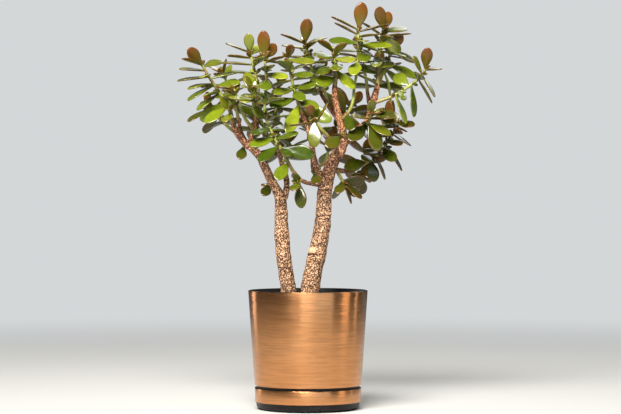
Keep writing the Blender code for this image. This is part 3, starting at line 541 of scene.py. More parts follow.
def make_leaf_skin():
    """The skin of a leaf, under its wax."""
    made, shader = plain_material("jade leaf", (0.12, 0.22, 0.03), 0.3)
    tree = made.node_tree
    cloudy = grain(tree, 70.0)
    tree.links.new(leaf_colour(tree, cloudy), shader.inputs["Base Color"])
    tree.links.new(remap(tree, cloudy, (0.3, 0.7), (0.13, 0.22)), shader.inputs["Roughness"])
    shader.inputs["Specular IOR Level"].default_value = 0.25
    waxy = remap(tree, attribute(tree, "under"), after=(1.0, 0.15))
    young = remap(tree, attribute(tree, "tone_and_shade"), (0.2, 0.45), (0.2, 1.0))
    tree.links.new(product(tree, waxy, young), shader.inputs["Coat Weight"])
    shader.inputs["Coat Roughness"].default_value = 0.14
    soft = roughen(tree, shader, grain(tree, 160.0), 0.35 * MM, 0.5)
    roughen(tree, shader, grain(tree, 1500.0), 0.05 * MM, 0.5, soft)
    return made


def make_stem_skin():
    """The skin of a green stem, brown at its foot and at its scars."""
    made, shader = plain_material("green stem", (0.20, 0.26, 0.05), 0.4)
    tree = made.node_tree
    specks = grain(tree, 420.0, (1.0, 1.0, 0.6))
    skin = blend(tree, attribute(tree, "blush"), ramp(tree, specks, STEM_GREEN), ramp(tree, specks, STEM_BROWN))
    lit = ramp(tree, attribute(tree, "tone_and_shade"), [(0.0, 0.7), (1.0, 1.15)])
    tree.links.new(blend(tree, 1.0, skin, lit, "MULTIPLY"), shader.inputs["Base Color"])
    roughen(tree, shader, specks, 0.3 * MM, 0.7)
    return made


LEAF_SKIN = make_leaf_skin()
STEM_SKIN = make_stem_skin()
print("leaf nodes:", len(LEAF_SKIN.node_tree.nodes), "stem nodes:", len(STEM_SKIN.node_tree.nodes))

# %% [markdown]
# ## The planter
#
# Every part of the planter is round, so each one is half an outline on paper: a few points of radius and height.
# The corners of the outline are rounded first, while it is still a bare line and easy to bevel. A spin then
# carries it once round the upright axis. A ring's outline closes on itself, and any other outline starts and
# ends on the axis, where the spin's doubles are merged into one point.

# %% Helpers that turn a profile and put a piece in its place
TURNS = 160


def turn(profile, ring=False, rounding=0.4 * MM):
    """Spins a profile of radius and height about the upright axis."""
    shape = bmesh.new()
    corners = [shape.verts.new((radius, 0, height)) for radius, height in profile]
    for pair in zip(corners, corners[1:] + corners[:1] if ring else corners[1:]):
        shape.edges.new(pair)
    sharp = [v for v in corners if len(v.link_edges) == 2]
    bmesh.ops.bevel(shape, geom=sharp, offset=rounding, affect="VERTICES", segments=3, profile=0.5, material=-1)
    line = shape.verts[:] + shape.edges[:]
    bmesh.ops.spin(
        shape, geom=line, cent=(0, 0, 0), axis=(0, 0, 1), angle=math.tau, steps=TURNS, use_merge=True)
    bmesh.ops.remove_doubles(shape, verts=shape.verts, dist=0.02 * MM)
    bmesh.ops.recalc_face_normals(shape, faces=shape.faces)
    return shape


def stand_for(piece, node):
    """The piece takes the place of a piece of the frame, which is hidden, and hangs on the root body."""
    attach(piece, "root")
    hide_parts(node)
    triangles = sum(len(face.vertices) - 2 for face in piece.data.polygons)
    print(piece.name, "triangles:", triangles)


print("steps in a turn:", TURNS)

# %% [markdown]
# ## The copper sleeve and band
#
# Both are sheet copper, less than a millimetre thick. Their sizes are read from the frame, so they can't drift
# away from it. The sleeve is wider at its rim than at its foot. The band has a broad soft upper edge, which
# shows as a bright line under the dark groove between the pot and its saucer.

# %% Turn the copper
SHEET = 0.9 * MM
SLEEVE_FOOT_RADIUS = 73.9 * MM

sleeve_low, sleeve_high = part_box("copper_sleeve")
band_low, band_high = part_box("copper_band")
RIM_RADIUS = sleeve_high.x
BAND_RADIUS = band_high.x


def sheet_ring(top_radius, foot_radius, top, foot, rounding):
    """An upright ring of sheet, turned from its outer side inwards."""
    profile = [(top_radius, top), (foot_radius, foot), (foot_radius - SHEET, foot), (top_radius - SHEET, top)]
    return turn(profile, ring=True, rounding=rounding)


sleeve = sheet_ring(RIM_RADIUS, SLEEVE_FOOT_RADIUS, sleeve_high.z, sleeve_low.z, 0.3 * MM)
stand_for(finish_object("sleeve", sleeve, COPPER), "copper_sleeve")
band = sheet_ring(BAND_RADIUS, BAND_RADIUS, band_high.z, band_low.z, 0.42 * MM)
stand_for(finish_object("saucer_band", band, COPPER), "copper_band")

# %% [markdown]
# ## The black liner
#
# The liner is the real pot. Its rim shows inside the copper, and a step in its wall sits just above the saucer
# and makes the dark groove. Water holes are drilled in its floor by a Boolean, whose drills are thrown away once
# it is applied.

# %% A helper that drills
WALL = 2.2 * MM
DRAIN_HOLES = 5
DRAIN_RADIUS = 4 * MM
DRAIN_CIRCLE = 38 * MM


def drill(piece, places, radius):
    """Drills upright holes through a piece."""
    drills = []
    for i, place in enumerate(places):
        shape = bmesh.new()
        move = Matrix.Translation(place)
        bmesh.ops.create_cone(
            shape, cap_ends=True, segments=24, radius1=radius, radius2=radius, depth=8 * WALL, matrix=move)
        drills.append(finish_object(f"drill_{i}", shape))
        cut = piece.modifiers.new("hole", "BOOLEAN")
        cut.object = drills[-1]
    graph = bpy.context.evaluated_depsgraph_get()
    drilled = bpy.data.meshes.new_from_object(piece.evaluated_get(graph))
    piece.modifiers.clear()
    piece.data = drilled
    for tool in drills:
        bpy.data.objects.remove(tool)


print("water holes:", DRAIN_HOLES, "of", round(2 * DRAIN_RADIUS / MM), "mm")

# %% Turn the liner
GAP = 0.3 * MM
PLUG_RADIUS = 70.6 * MM

liner_low, liner_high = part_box("pot_liner")
floor_height = liner_low.z + WALL
step = sleeve_low.z - GAP
rim = liner_high.z


def wall_radius(height):
    """The liner's outer radius behind the copper sleeve."""
    share = (height - sleeve_low.z) / (sleeve_high.z - sleeve_low.z)
    return SLEEVE_FOOT_RADIUS + (RIM_RADIUS - SLEEVE_FOOT_RADIUS) * share - SHEET - GAP


liner = finish_object("liner", turn([
    (0, floor_height), (PLUG_RADIUS - WALL, floor_height), (PLUG_RADIUS - WALL, step),
    (wall_radius(step + WALL) - WALL, step + WALL), (wall_radius(rim) - WALL, rim), (wall_radius(rim), rim),
    (wall_radius(step), step), (PLUG_RADIUS, step), (PLUG_RADIUS, liner_low.z), (0, liner_low.z),
], rounding=0.55 * MM), PLASTIC)
angles = [math.tau * (i + 0.5) / DRAIN_HOLES for i in range(DRAIN_HOLES)]
circle = [(DRAIN_CIRCLE * math.cos(a), DRAIN_CIRCLE * math.sin(a), floor_height) for a in angles]
drill(liner, circle, DRAIN_RADIUS)
stand_for(liner, "pot_liner")

# %% [markdown]
# ## The saucer
#
# The saucer is a deep cup with a rounded foot, and the liner's lower part stands in its well. Its skirt is drawn
# in a little below the copper band, so that the planter seems to hover over its own shadow.

# %% Turn the saucer
ROUND = 3.5 * MM
FOOT_RADIUS = 65 * MM
SAUCER_RADIUS = BAND_RADIUS - SHEET - GAP

saucer_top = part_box("saucer")[1].z
well = PLUG_RADIUS + 2 * GAP
well_floor = liner_low.z - GAP
saucer = finish_object("saucer_cup", turn([
    (0, well_floor), (well - ROUND, well_floor), (well, well_floor + ROUND), (well, saucer_top),
    (SAUCER_RADIUS, saucer_top), (SAUCER_RADIUS, band_low.z - GAP), (SAUCER_RADIUS - 1.4 * MM, 8 * MM),
    (SAUCER_RADIUS - 3.2 * MM, 3.2 * MM), (FOOT_RADIUS + 1.2 * MM, 0.6 * MM), (FOOT_RADIUS, 0), (0, 0),
], rounding=0.5 * MM), PLASTIC)
stand_for(saucer, "saucer")

# %% [markdown]
# ## The soil
#
# From the front the soil hides behind the rim, but from above it is what the eye falls on. Its top is a profile
# with many points, so that the spin gives a fine mesh, and noise pushes it into lumps. It is heaped a little
# around each trunk, and sinks towards the wall.

# %% Heap the soil
SOIL_RINGS = 34
SOIL_SINK = 2.6
HEAP = 2.2
TRUNK_FEET = ((-25.5 * MM, 2 * MM, 10.8 * MM), (2.5 * MM, -1 * MM, 13.4 * MM))

soil_low, soil_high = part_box("soil")
SOIL_TOP = soil_high.z - 1.3 * MM


def soil_height(x, y):
    """The lumpy level of the soil, a little heaped around each trunk."""
    lumps = noise.noise(Vector((x, y, 0)) * 70) * 1.0 + noise.noise(Vector((x, y, 0.3)) * 260) * 0.9
    heap = sum(HEAP * math.exp(-max(0, math.hypot(x - a, y - b) - r) / (6 * MM)) for a, b, r in TRUNK_FEET)
    return SOIL_TOP + (lumps - SOIL_SINK * (math.hypot(x, y) / (77 * MM)) ** 2 + min(heap, 2.4)) * MM


def heap_soil():
    """Soil that fills the liner, with an uneven top."""
    edge = wall_radius(SOIL_TOP) - WALL - GAP
    inner = PLUG_RADIUS - WALL - GAP
    profile = [(edge * i / SOIL_RINGS, SOIL_TOP) for i in range(SOIL_RINGS + 1)]
    profile += [(wall_radius(step + WALL) - WALL - GAP, step + WALL + GAP)]
    profile += [(inner, step), (inner, soil_low.z), (0, soil_low.z)]
    shape = turn(profile, rounding=0.05 * MM)
    for vertex in shape.verts:
        if vertex.co.z > SOIL_TOP - MM:
            vertex.co.z = soil_height(vertex.co.x, vertex.co.y)
    return shape


earth = heap_soil()
print("soil points:", len(earth.verts))

# %% [markdown]
# ## Crumbs
#
# Crumbs are scattered over the soil: small stones of twenty faces, squashed and turned at random, because no one
# looks at a single crumb. A square root spreads them evenly over the disc, and one in ten is a pale grain.

# %% Scatter the crumbs
CRUMBS = 420
CRUMB_SEED = 3
CRUMB_DISC = 76 * MM
PALE_SHARE = 0.1
BARE_SOIL = 0.25


def add_crumbs(shape):
    """Scatters crumbs on the soil and returns which kind each of their points belongs to."""
    dice = random.Random(CRUMB_SEED)
    kinds = {}
    for _ in range(CRUMBS):
        away, angle = CRUMB_DISC * math.sqrt(dice.random()), dice.uniform(0, math.tau)
        x, y = away * math.cos(angle), away * math.sin(angle)
        pale = dice.random() < PALE_SHARE
        size = dice.uniform(0.7, 1.5) * MM if pale else dice.uniform(0.8, 2.6) * MM
        flat = Matrix.Diagonal((1, dice.uniform(0.5, 1), dice.uniform(0.3, 0.8), 1))
        spin = Matrix.Rotation(dice.uniform(0, math.tau), 4, "Z")
        tilt = Matrix.Rotation(dice.uniform(-0.5, 0.5), 4, "X")
        place = Matrix.Translation((x, y, soil_height(x, y) + 0.2 * size))
        grown = bmesh.ops.create_icosphere(
            shape, subdivisions=1, radius=size, matrix=place @ (spin @ tilt) @ flat)
        kind = 1.0 if pale else dice.uniform(0.1, 0.8)
        kinds.update({v: kind for v in grown["verts"]})
    return kinds


crumb_of = add_crumbs(earth)
layer = earth.verts.layers.float.new("crumb")
for vertex in earth.verts:
    vertex[layer] = crumb_of.get(vertex, BARE_SOIL)
soil = finish_object("potting_soil", earth, EARTH, smooth=False)
stand_for(soil, "soil")

# %% [markdown]
# ## How the plant grows
#
# The finer plant has to be the same plant as the one in the frame, so the rule that grew the frame is written
# out here again. It starts with the wood. Each trunk and limb is a list of knots, a place and a radius in
# millimetres, and a smooth curve is drawn through them.

# %% Knots of the trunks and limbs
LEFT_TRUNK = [
    (-25.5, 2, 124, 10.8), (-25.5, 2, 150, 10.8), (-29, 1, 178, 10.7), (-33, 0, 205, 10.3),
    (-35.5, -1, 232, 10.3), (-37, -1, 256, 9.6), (-37, 0, 276, 8.6), (-38.5, 0, 292, 8.0),
    (-44, -2, 303, 6.8), (-52, -4, 318, 6.2), (-59, -6, 333, 6.0), (-66, -8, 348, 5.6),
    (-75, -10, 358, 5.2), (-85, -11, 365, 4.8), (-94, -12, 375, 4.4), (-101, -12, 387, 4.0),
    (-105, -12, 400, 3.6),
]
LEFT_LIMBS = [
    [(-37, 0, 282, 5.5), (-31, 6, 297, 4.6), (-30, 18, 315, 4.2), (-36, 34, 338, 3.8),
     (-42, 46, 362, 3.4), (-44, 54, 385, 3.0)],
    [(-82, -11, 362, 3.6), (-78, -14, 374, 3.6), (-73, -18, 388, 3.3), (-71, -20, 404, 3.0),
     (-70, -22, 416, 2.8)],
    [(-62, -7, 341, 4.2), (-72, 12, 352, 4.0), (-84, 32, 366, 3.5), (-94, 48, 384, 3.1),
     (-98, 58, 402, 2.8)],
]
RIGHT_TRUNK = [
    (2.5, -1, 124, 13.4), (2.5, -1, 150, 13.4), (5, -1, 178, 13.1), (10, -1, 202, 12.8),
    (14.5, -1, 222, 12.2), (18, -1, 242, 11.4), (21, 0, 262, 11.0), (22, 0, 284, 10.6),
    (23.5, 0, 302, 10.2), (27, 0, 320, 9.6), (32, 0, 336, 9.4), (38, 0, 348, 8.8),
    (45, 0, 359, 8.0), (49, 0, 370, 7.0), (48, 0, 382, 5.8), (45, 0, 395, 5.2),
    (41, 0, 412, 4.8), (37.5, 0, 430, 4.4), (37, 0, 447, 3.6),
]
RIGHT_LIMBS = [
    [(22, -2, 308, 6.0), (13, -8, 320, 5.2), (8, -11, 334, 4.6), (7, -13, 352, 4.2),
     (4, -14, 372, 3.8), (-2, -16, 392, 3.4), (-9, -18, 408, 3.0)],
    [(16, -6, 310, 3.6), (2, -20, 311, 3.2), (-10, -30, 316, 3.0), (-20, -38, 327, 2.8)],
    [(47, 0, 364, 6.0), (57, 3, 374, 5.2), (69, 6, 385, 4.8), (80, 9, 395, 4.6),
     (87, 10, 408, 4.5), (91, 10, 424, 4.4), (95, 10, 440, 4.0), (97, 10, 450, 3.6)],
    [(29, 2, 330, 4.6), (40, 14, 330, 4.0), (54, 26, 329, 3.5), (68, 33, 333, 3.1)],
    [(46, 0, 388, 4.2), (42, 16, 400, 3.8), (34, 34, 412, 3.4), (24, 46, 428, 3.0),
     (16, 50, 442, 2.7)],
    [(82, 9, 398, 3.8), (86, 26, 412, 3.5), (86, 46, 424, 3.2), (84, 62, 440, 2.8)],
    [(38, 0, 350, 4.2), (40, -18, 358, 3.6), (34, -36, 366, 3.2), (26, -52, 376, 2.8)],
    [(24, 2, 303, 4.4), (20, 22, 318, 3.6), (14, 42, 335, 3.2), (8, 58, 352, 2.8)],
]
print("knots in the trunks:", len(LEFT_TRUNK), "and", len(RIGHT_TRUNK))

# %% [markdown]
# ## A smooth curve through the knots
#
# Straight lines between the knots would show as kinks. Each stretch is therefore bent so that it leaves one knot
# in the direction in which the stretch before it came in. The radius is carried along as a fourth coordinate, so
# that it changes as smoothly as the place.

# %% Trunks and limbs
Stem = namedtuple("Stem", "points radii")


def in_metres(knot):
    """A knot of the tables in metres."""
    return Vector(knot) * MM


def smooth_path(knots, steps):
    """Points on one smooth curve through the knots, so many for each stretch between two of them."""
    ends = [knots[0] * 2 - knots[1], *knots, knots[-1] * 2 - knots[-2]]
    path = []
    for a, b, c, d in zip(ends, ends[1:], ends[2:], ends[3:]):
        for i in range(steps):
            t = i / steps
            path.append(0.5 * (2 * b + (c - a) * t + (2 * a - 5 * b + 4 * c - d) * t**2
                               + (3 * b - a - 3 * c + d) * t**3))
    path.append(knots[-1])
    return path


def woody_stem(knots):
    """A trunk or a limb, from knots that end in a radius."""
    path = smooth_path([in_metres(k) for k in knots], 1)
    return Stem([p.xyz for p in path], [p.w for p in path])


def along_stem(stem, step):
    """Places along a stem's middle, close to one another, and the stem's radius at each."""
    places, radii = [], []
    for a, b, wide, narrow in zip(stem.points, stem.points[1:], stem.radii, stem.radii[1:]):
        count = max(2, round((b - a).length / step))
        for i in range(count + 1):
            places.append(a.lerp(b, i / count))
            radii.append(wide + (narrow - wide) * i / count)
    return np.array(places), np.array(radii)


left_woods = [woody_stem(knots) for knots in (LEFT_TRUNK, *LEFT_LIMBS)]
right_woods = [woody_stem(knots) for knots in (RIGHT_TRUNK, *RIGHT_LIMBS)]
print("limbs:", len(left_woods) + len(right_woods) - 2)

# %% [markdown]
# ## Green shoots
#
# Young growth is green, and leaves stand on it in pairs. A shoot leaves the side of a limb or goes on from its
# end. In the table, each one has a number of leaf pairs, a turn of those pairs in degrees, and its knots.

# %% Knots of the shoots
SHOOTS = {
    "shoot_far_left": (6, 0, [
        (-105, -12, 400), (-108, -13, 414), (-118, -14, 431), (-133, -16, 453), (-146, -18, 475),
    ]),
    "shoot_left_low": (2, 80, [(-103, -12, 394), (-106, -26, 401), (-106, -40, 412)]),
    "shoot_left_back": (5, 70, [(-98, 58, 402), (-102, 61, 420), (-110, 60, 444), (-120, 55, 468)]),
    "shoot_left_back_out": (4, 40, [(-90, 42, 376), (-108, 60, 388), (-126, 72, 404), (-140, 78, 420)]),
    "shoot_left_upper": (5, 0, [(-70, -22, 416), (-68, -22, 440), (-73, -21, 465), (-80, -20, 492)]),
    "shoot_left_mid": (3, 75, [(-74, -17, 384), (-86, -32, 400), (-94, -38, 420), (-101, -40, 440)]),
    "shoot_front_left": (9, 0, [
        (-20, -38, 327), (-28, -43, 341), (-38, -46, 360), (-50, -45, 382), (-58, -42, 404),
        (-59, -40, 425), (-57, -37, 450), (-59, -34, 483),
    ]),
    "shoot_center_upper": (5, 0, [(-9, -18, 408), (-15, -20, 427), (-21, -20, 448), (-28, -18, 484)]),
    "shoot_center_back": (5, 0, [(16, 50, 442), (8, 44, 462), (2, 34, 485), (-4, 26, 508)]),
    "shoot_right_center": (3, 0, [(37, 0, 447), (39, -3, 465), (37, -6, 482), (34, -8, 494)]),
    "shoot_top": (6, 0, [
        (44, 0, 398), (53, -10, 406), (61, -14, 420), (64, -13, 445), (68, -10, 472), (70, -7, 525),
    ]),
    "shoot_right_upper": (5, 0, [(97, 10, 450), (98, 12, 475), (100, 13, 500), (105, 14, 526)]),
    "shoot_right_upper_back": (4, 30, [(94, 10, 438), (103, 24, 462), (111, 34, 482), (118, 40, 500)]),
    "shoot_far_right": (6, 0, [
        (91, 10, 423), (106, 9, 428), (121, 8, 434), (140, 6, 446), (156, 5, 459), (163, 5, 470),
    ]),
    "shoot_right_front": (3, 20, [(80, 9, 395), (81, -8, 392), (83, -20, 396), (87, -32, 405)]),
    "shoot_right_mid": (3, 0, [(76, 8, 391), (95, 16, 391), (112, 20, 392), (126, 22, 396)]),
    "shoot_low_right": (5, 0, [
        (68, 33, 333), (84, 36, 343), (100, 36, 356), (112, 34, 371), (120, 32, 383),
    ]),
    "shoot_low_right_hang": (3, 20, [(54, 26, 329), (64, 44, 326), (74, 58, 324)]),
    "shoot_low_right_small": (2, 0, [(40, 14, 330), (46, 8, 318), (52, 2, 309)]),
    "shoot_front_center": (2, 10, [(26, -52, 376), (18, -58, 384), (11, -62, 392), (7, -64, 400)]),
    "shoot_front_right": (1, -10, [(34, -36, 366), (40, -46, 370), (45, -55, 375)]),
    "shoot_front_low": (1, 0, [(-10, -30, 316), (-12, -40, 312), (-14, -48, 312)]),
    "shoot_front_low_right": (0, 0, [(13, -8, 320), (10, -24, 322), (8, -32, 326)]),
    "shoot_back_left": (5, 0, [(-44, 54, 385), (-46, 60, 405), (-44, 66, 428), (-40, 68, 450)]),
    "shoot_back_left_low": (4, 30, [(-34, 30, 332), (-36, 50, 342), (-42, 68, 358), (-46, 80, 376)]),
    "shoot_back_left_out": (4, 0, [(-84, 32, 366), (-76, 45, 371), (-72, 70, 388), (-70, 88, 412)]),
    "shoot_back_center": (4, 0, [(8, 58, 352), (4, 70, 368), (0, 80, 386), (-2, 86, 404)]),
    "shoot_back_center_up": (4, 20, [(30, 40, 418), (26, 62, 432), (22, 78, 450), (20, 86, 470)]),
    "shoot_back_right_up": (4, 0, [(84, 62, 440), (82, 70, 460), (78, 74, 480), (74, 74, 500)]),
    "shoot_back_right_out": (4, 0, [(86, 40, 420), (92, 60, 436), (98, 76, 456), (100, 84, 478)]),
    "shoot_back_right_low": (4, 0, [(60, 30, 330), (70, 54, 336), (80, 74, 346), (88, 88, 360)]),
    "shoot_back_low_center": (3, 20, [(14, 42, 335), (24, 60, 342), (28, 76, 356), (30, 88, 372)]),
    "shoot_back_mid": (4, 40, [(38, 26, 406), (48, 48, 408), (58, 68, 414), (64, 84, 424)]),
    "shoot_back_left_up": (5, 20, [(-42, 46, 362), (-58, 58, 382), (-68, 64, 408), (-74, 66, 436)]),
    "shoot_left_hang": (0, 0, [(-85, -11, 365), (-88, 0, 362), (-90, 8, 360)]),
    "shoot_front_mid_left": (3, 80, [
        (-71, -20, 404), (-74, -38, 412), (-74, -54, 424), (-72, -64, 438),
    ]),
    "shoot_front_right_up": (0, 0, [(87, 10, 408), (92, -3, 409), (96, -12, 409), (100, -18, 411)]),
    "shoot_left_behind": (0, 0, [(-46, -2, 307), (-51, 12, 309), (-56, 22, 309)]),
}
print("shoots:", len(SHOOTS))

# %% [markdown]
# ## Where a shoot leaves the wood
#
# A shoot thins steadily towards its tip. The frame keeps each one a hair clear of the wood, so the finer shoot
# has to start at the same place, or its leaves would sit elsewhere. A round disc is pushed along the shoot's way
# until all of it is clear of every limb. Later the finer stem is sunk back into the wood.

# %% Stems of the shoots
SHOOT_RADIUS = 2.6 * MM
TIP_RADIUS = 1.6 * MM
SHOOT_STEPS = 3
DISC_POINTS = 12
NUDGE = 0.1 * MM


def leave_wood(start, way, woods):
    """How far along its way a shoot's round start is clear of all the woody stems."""
    side = way.orthogonal().normalized() * SHOOT_RADIUS
    up = way.cross(side)
    turns = [math.tau * i / DISC_POINTS for i in range(DISC_POINTS)]
    disc = np.array([start, *[start + side * math.cos(a) + up * math.sin(a) for a in turns]])
    reach = 0
    for wood in woods:
        middles, radii = along_stem(wood, 0.5 * MM)
        room = 0
        while room < GAP:
            spans = np.linalg.norm(disc[:, None] + np.array(way) * reach - middles, axis=2)
            room = (spans - radii).min()
            reach += NUDGE * (room < GAP)
    return reach


def shoot_stem(knots, woods):
    """A shoot's stem, thinner towards its tip, from where it leaves the wood that it grows on."""
    path = smooth_path([in_metres(k) for k in knots], SHOOT_STEPS)
    way = (path[1] - path[0]).normalized()
    ended = [wood for wood in woods if (path[0] - wood.points[-1]).length < GAP]
    if ended:
        along = way.dot((ended[0].points[-1] - ended[0].points[-2]).normalized())
        thickest = ended[0].radii[-1] - GAP
        reach = (1.2 * GAP + thickest * math.sqrt(max(0, 1 - along * along))) / along
    else:
        thickest = SHOOT_RADIUS
        reach = leave_wood(path[0], way, woods)
    rest = [p for p in path[1:] if (p - path[0]).length > reach + 3 * MM]
    path = [path[0] + way * reach, *rest]
    last = len(path) - 1
    return Stem(path, [thickest + (TIP_RADIUS - thickest) * i / last for i in range(last + 1)])


stems = {name: shoot_stem(knots, left_woods + right_woods) for name, (_, _, knots) in SHOOTS.items()}
reaches = [(stem.points[-1] - stem.points[0]).length / MM for stem in stems.values()]
print("the shoots reach, mm:", round(min(reaches)), "to", round(max(reaches)))

# %% [markdown]
# ## Places on a stem
#
# Leaves are placed by their distance from the tip, because that is where a shoot grows. Two helpers go either
# way between a distance and a place. The first one looks at the plant from the front, with depth left out.

# %% Helpers that find a place on a stem
ROOT_SINK = 1.5 * MM
LOOKS_A_STRETCH = 8


def seen_at(stem, x, z):
    """How far below its tip a stem passes a place of the front view."""
    nearest, found = None, 0
    distance = 0
    for upper, lower in zip(reversed(stem.points), list(reversed(stem.points))[1:]):
        for i in range(LOOKS_A_STRETCH):
            spot = upper.lerp(lower, i / LOOKS_A_STRETCH)
            off = math.hypot(spot.x - x, spot.z - z)
            if nearest is None or off < nearest:
                nearest, found = off, distance + (lower - upper).length * i / LOOKS_A_STRETCH
        distance += (lower - upper).length
    return max(found, ROOT_SINK)


def place_on(stem, distance):
    """The point of a stem so far down from its tip, and the way that the stem grows there."""
    for upper, lower in zip(reversed(stem.points), list(reversed(stem.points))[1:]):
        step = (upper - lower).length
        if distance <= step:
            return upper.lerp(lower, distance / step), (upper - lower).normalized()
        distance -= step
    return None


halfway = place_on(stems["shoot_top"], 50 * MM)[0]
print("50 mm below the top of the plant its shoot is at", [round(c / MM) for c in halfway])

# %% [markdown]
# ## One leaf
#
# A leaf is described by a few numbers: where its root is, which way it points, where its upper side faces, how
# long and wide it is, and how much it arches. Three functions turn these into a surface. The outline gives the
# blunt egg shape, widest beyond the middle. The flesh gives the thickness. The last one places a point that is
# so far along, so far to the side and so far up.

# %% The shape of a leaf
LEAF_LENGTH = 38 * MM
LEAF_THICKNESS = 3.4 * MM
LEAF_CUP = 0.10
WIDEST = 0.64

Leaf = namedtuple("Leaf", "base along face length width arch")


def leaf_outline(s):
    """A leaf's half width s of the way to its tip, as a share of its widest."""
    if s < WIDEST:
        return 0.15 + 0.85 * math.sin(math.pi / 2 * s / WIDEST) ** 1.5
    return math.sqrt(max(0.0, 1 - ((s - WIDEST) / (1 - WIDEST)) ** 2))


def leaf_flesh(s):
    """A leaf's half thickness s of the way to its tip, as a share of its thickest."""
    return 0.62 + 0.38 * math.sin(math.pi * s**0.8)


def on_leaf(leaf, s, u, v):
    """The point of a leaf s of the way to its tip, u of the way to its edge and v to its skin."""
    half_width = leaf.width / 2 * leaf_outline(s)
    drop = leaf.arch * leaf.length * s * s
    rise = LEAF_CUP * half_width * u * u + v * LEAF_THICKNESS / 2 * leaf_flesh(s)
    sideways = leaf.face.cross(leaf.along) * (half_width * u)
    return leaf.base + leaf.along * (leaf.length * s) + sideways + leaf.face * (rise - drop)


def make_leaf(base, way, face, length, width, arch):
    """A leaf whose upper side faces as nearly as it can where it is told to."""
    along = way.normalized()
    upper = (face - along * face.dot(along)).normalized()
    return Leaf(base, along, upper, length, width, arch)


print("a leaf is widest", WIDEST, "of the way to its tip")

# %% [markdown]
# ## Leaves that everyone sees
#
# The leaves at the front and along the edge of the crown give the plant its look, so they are set one by one. A
# row of the table says in millimetres where such a leaf's root and tip are as seen from the front, how long and
# wide it is, and then where its upper side faces. Its depth follows from its true length. A length above 0
# brings the tip forwards, and one below 0 takes it back.

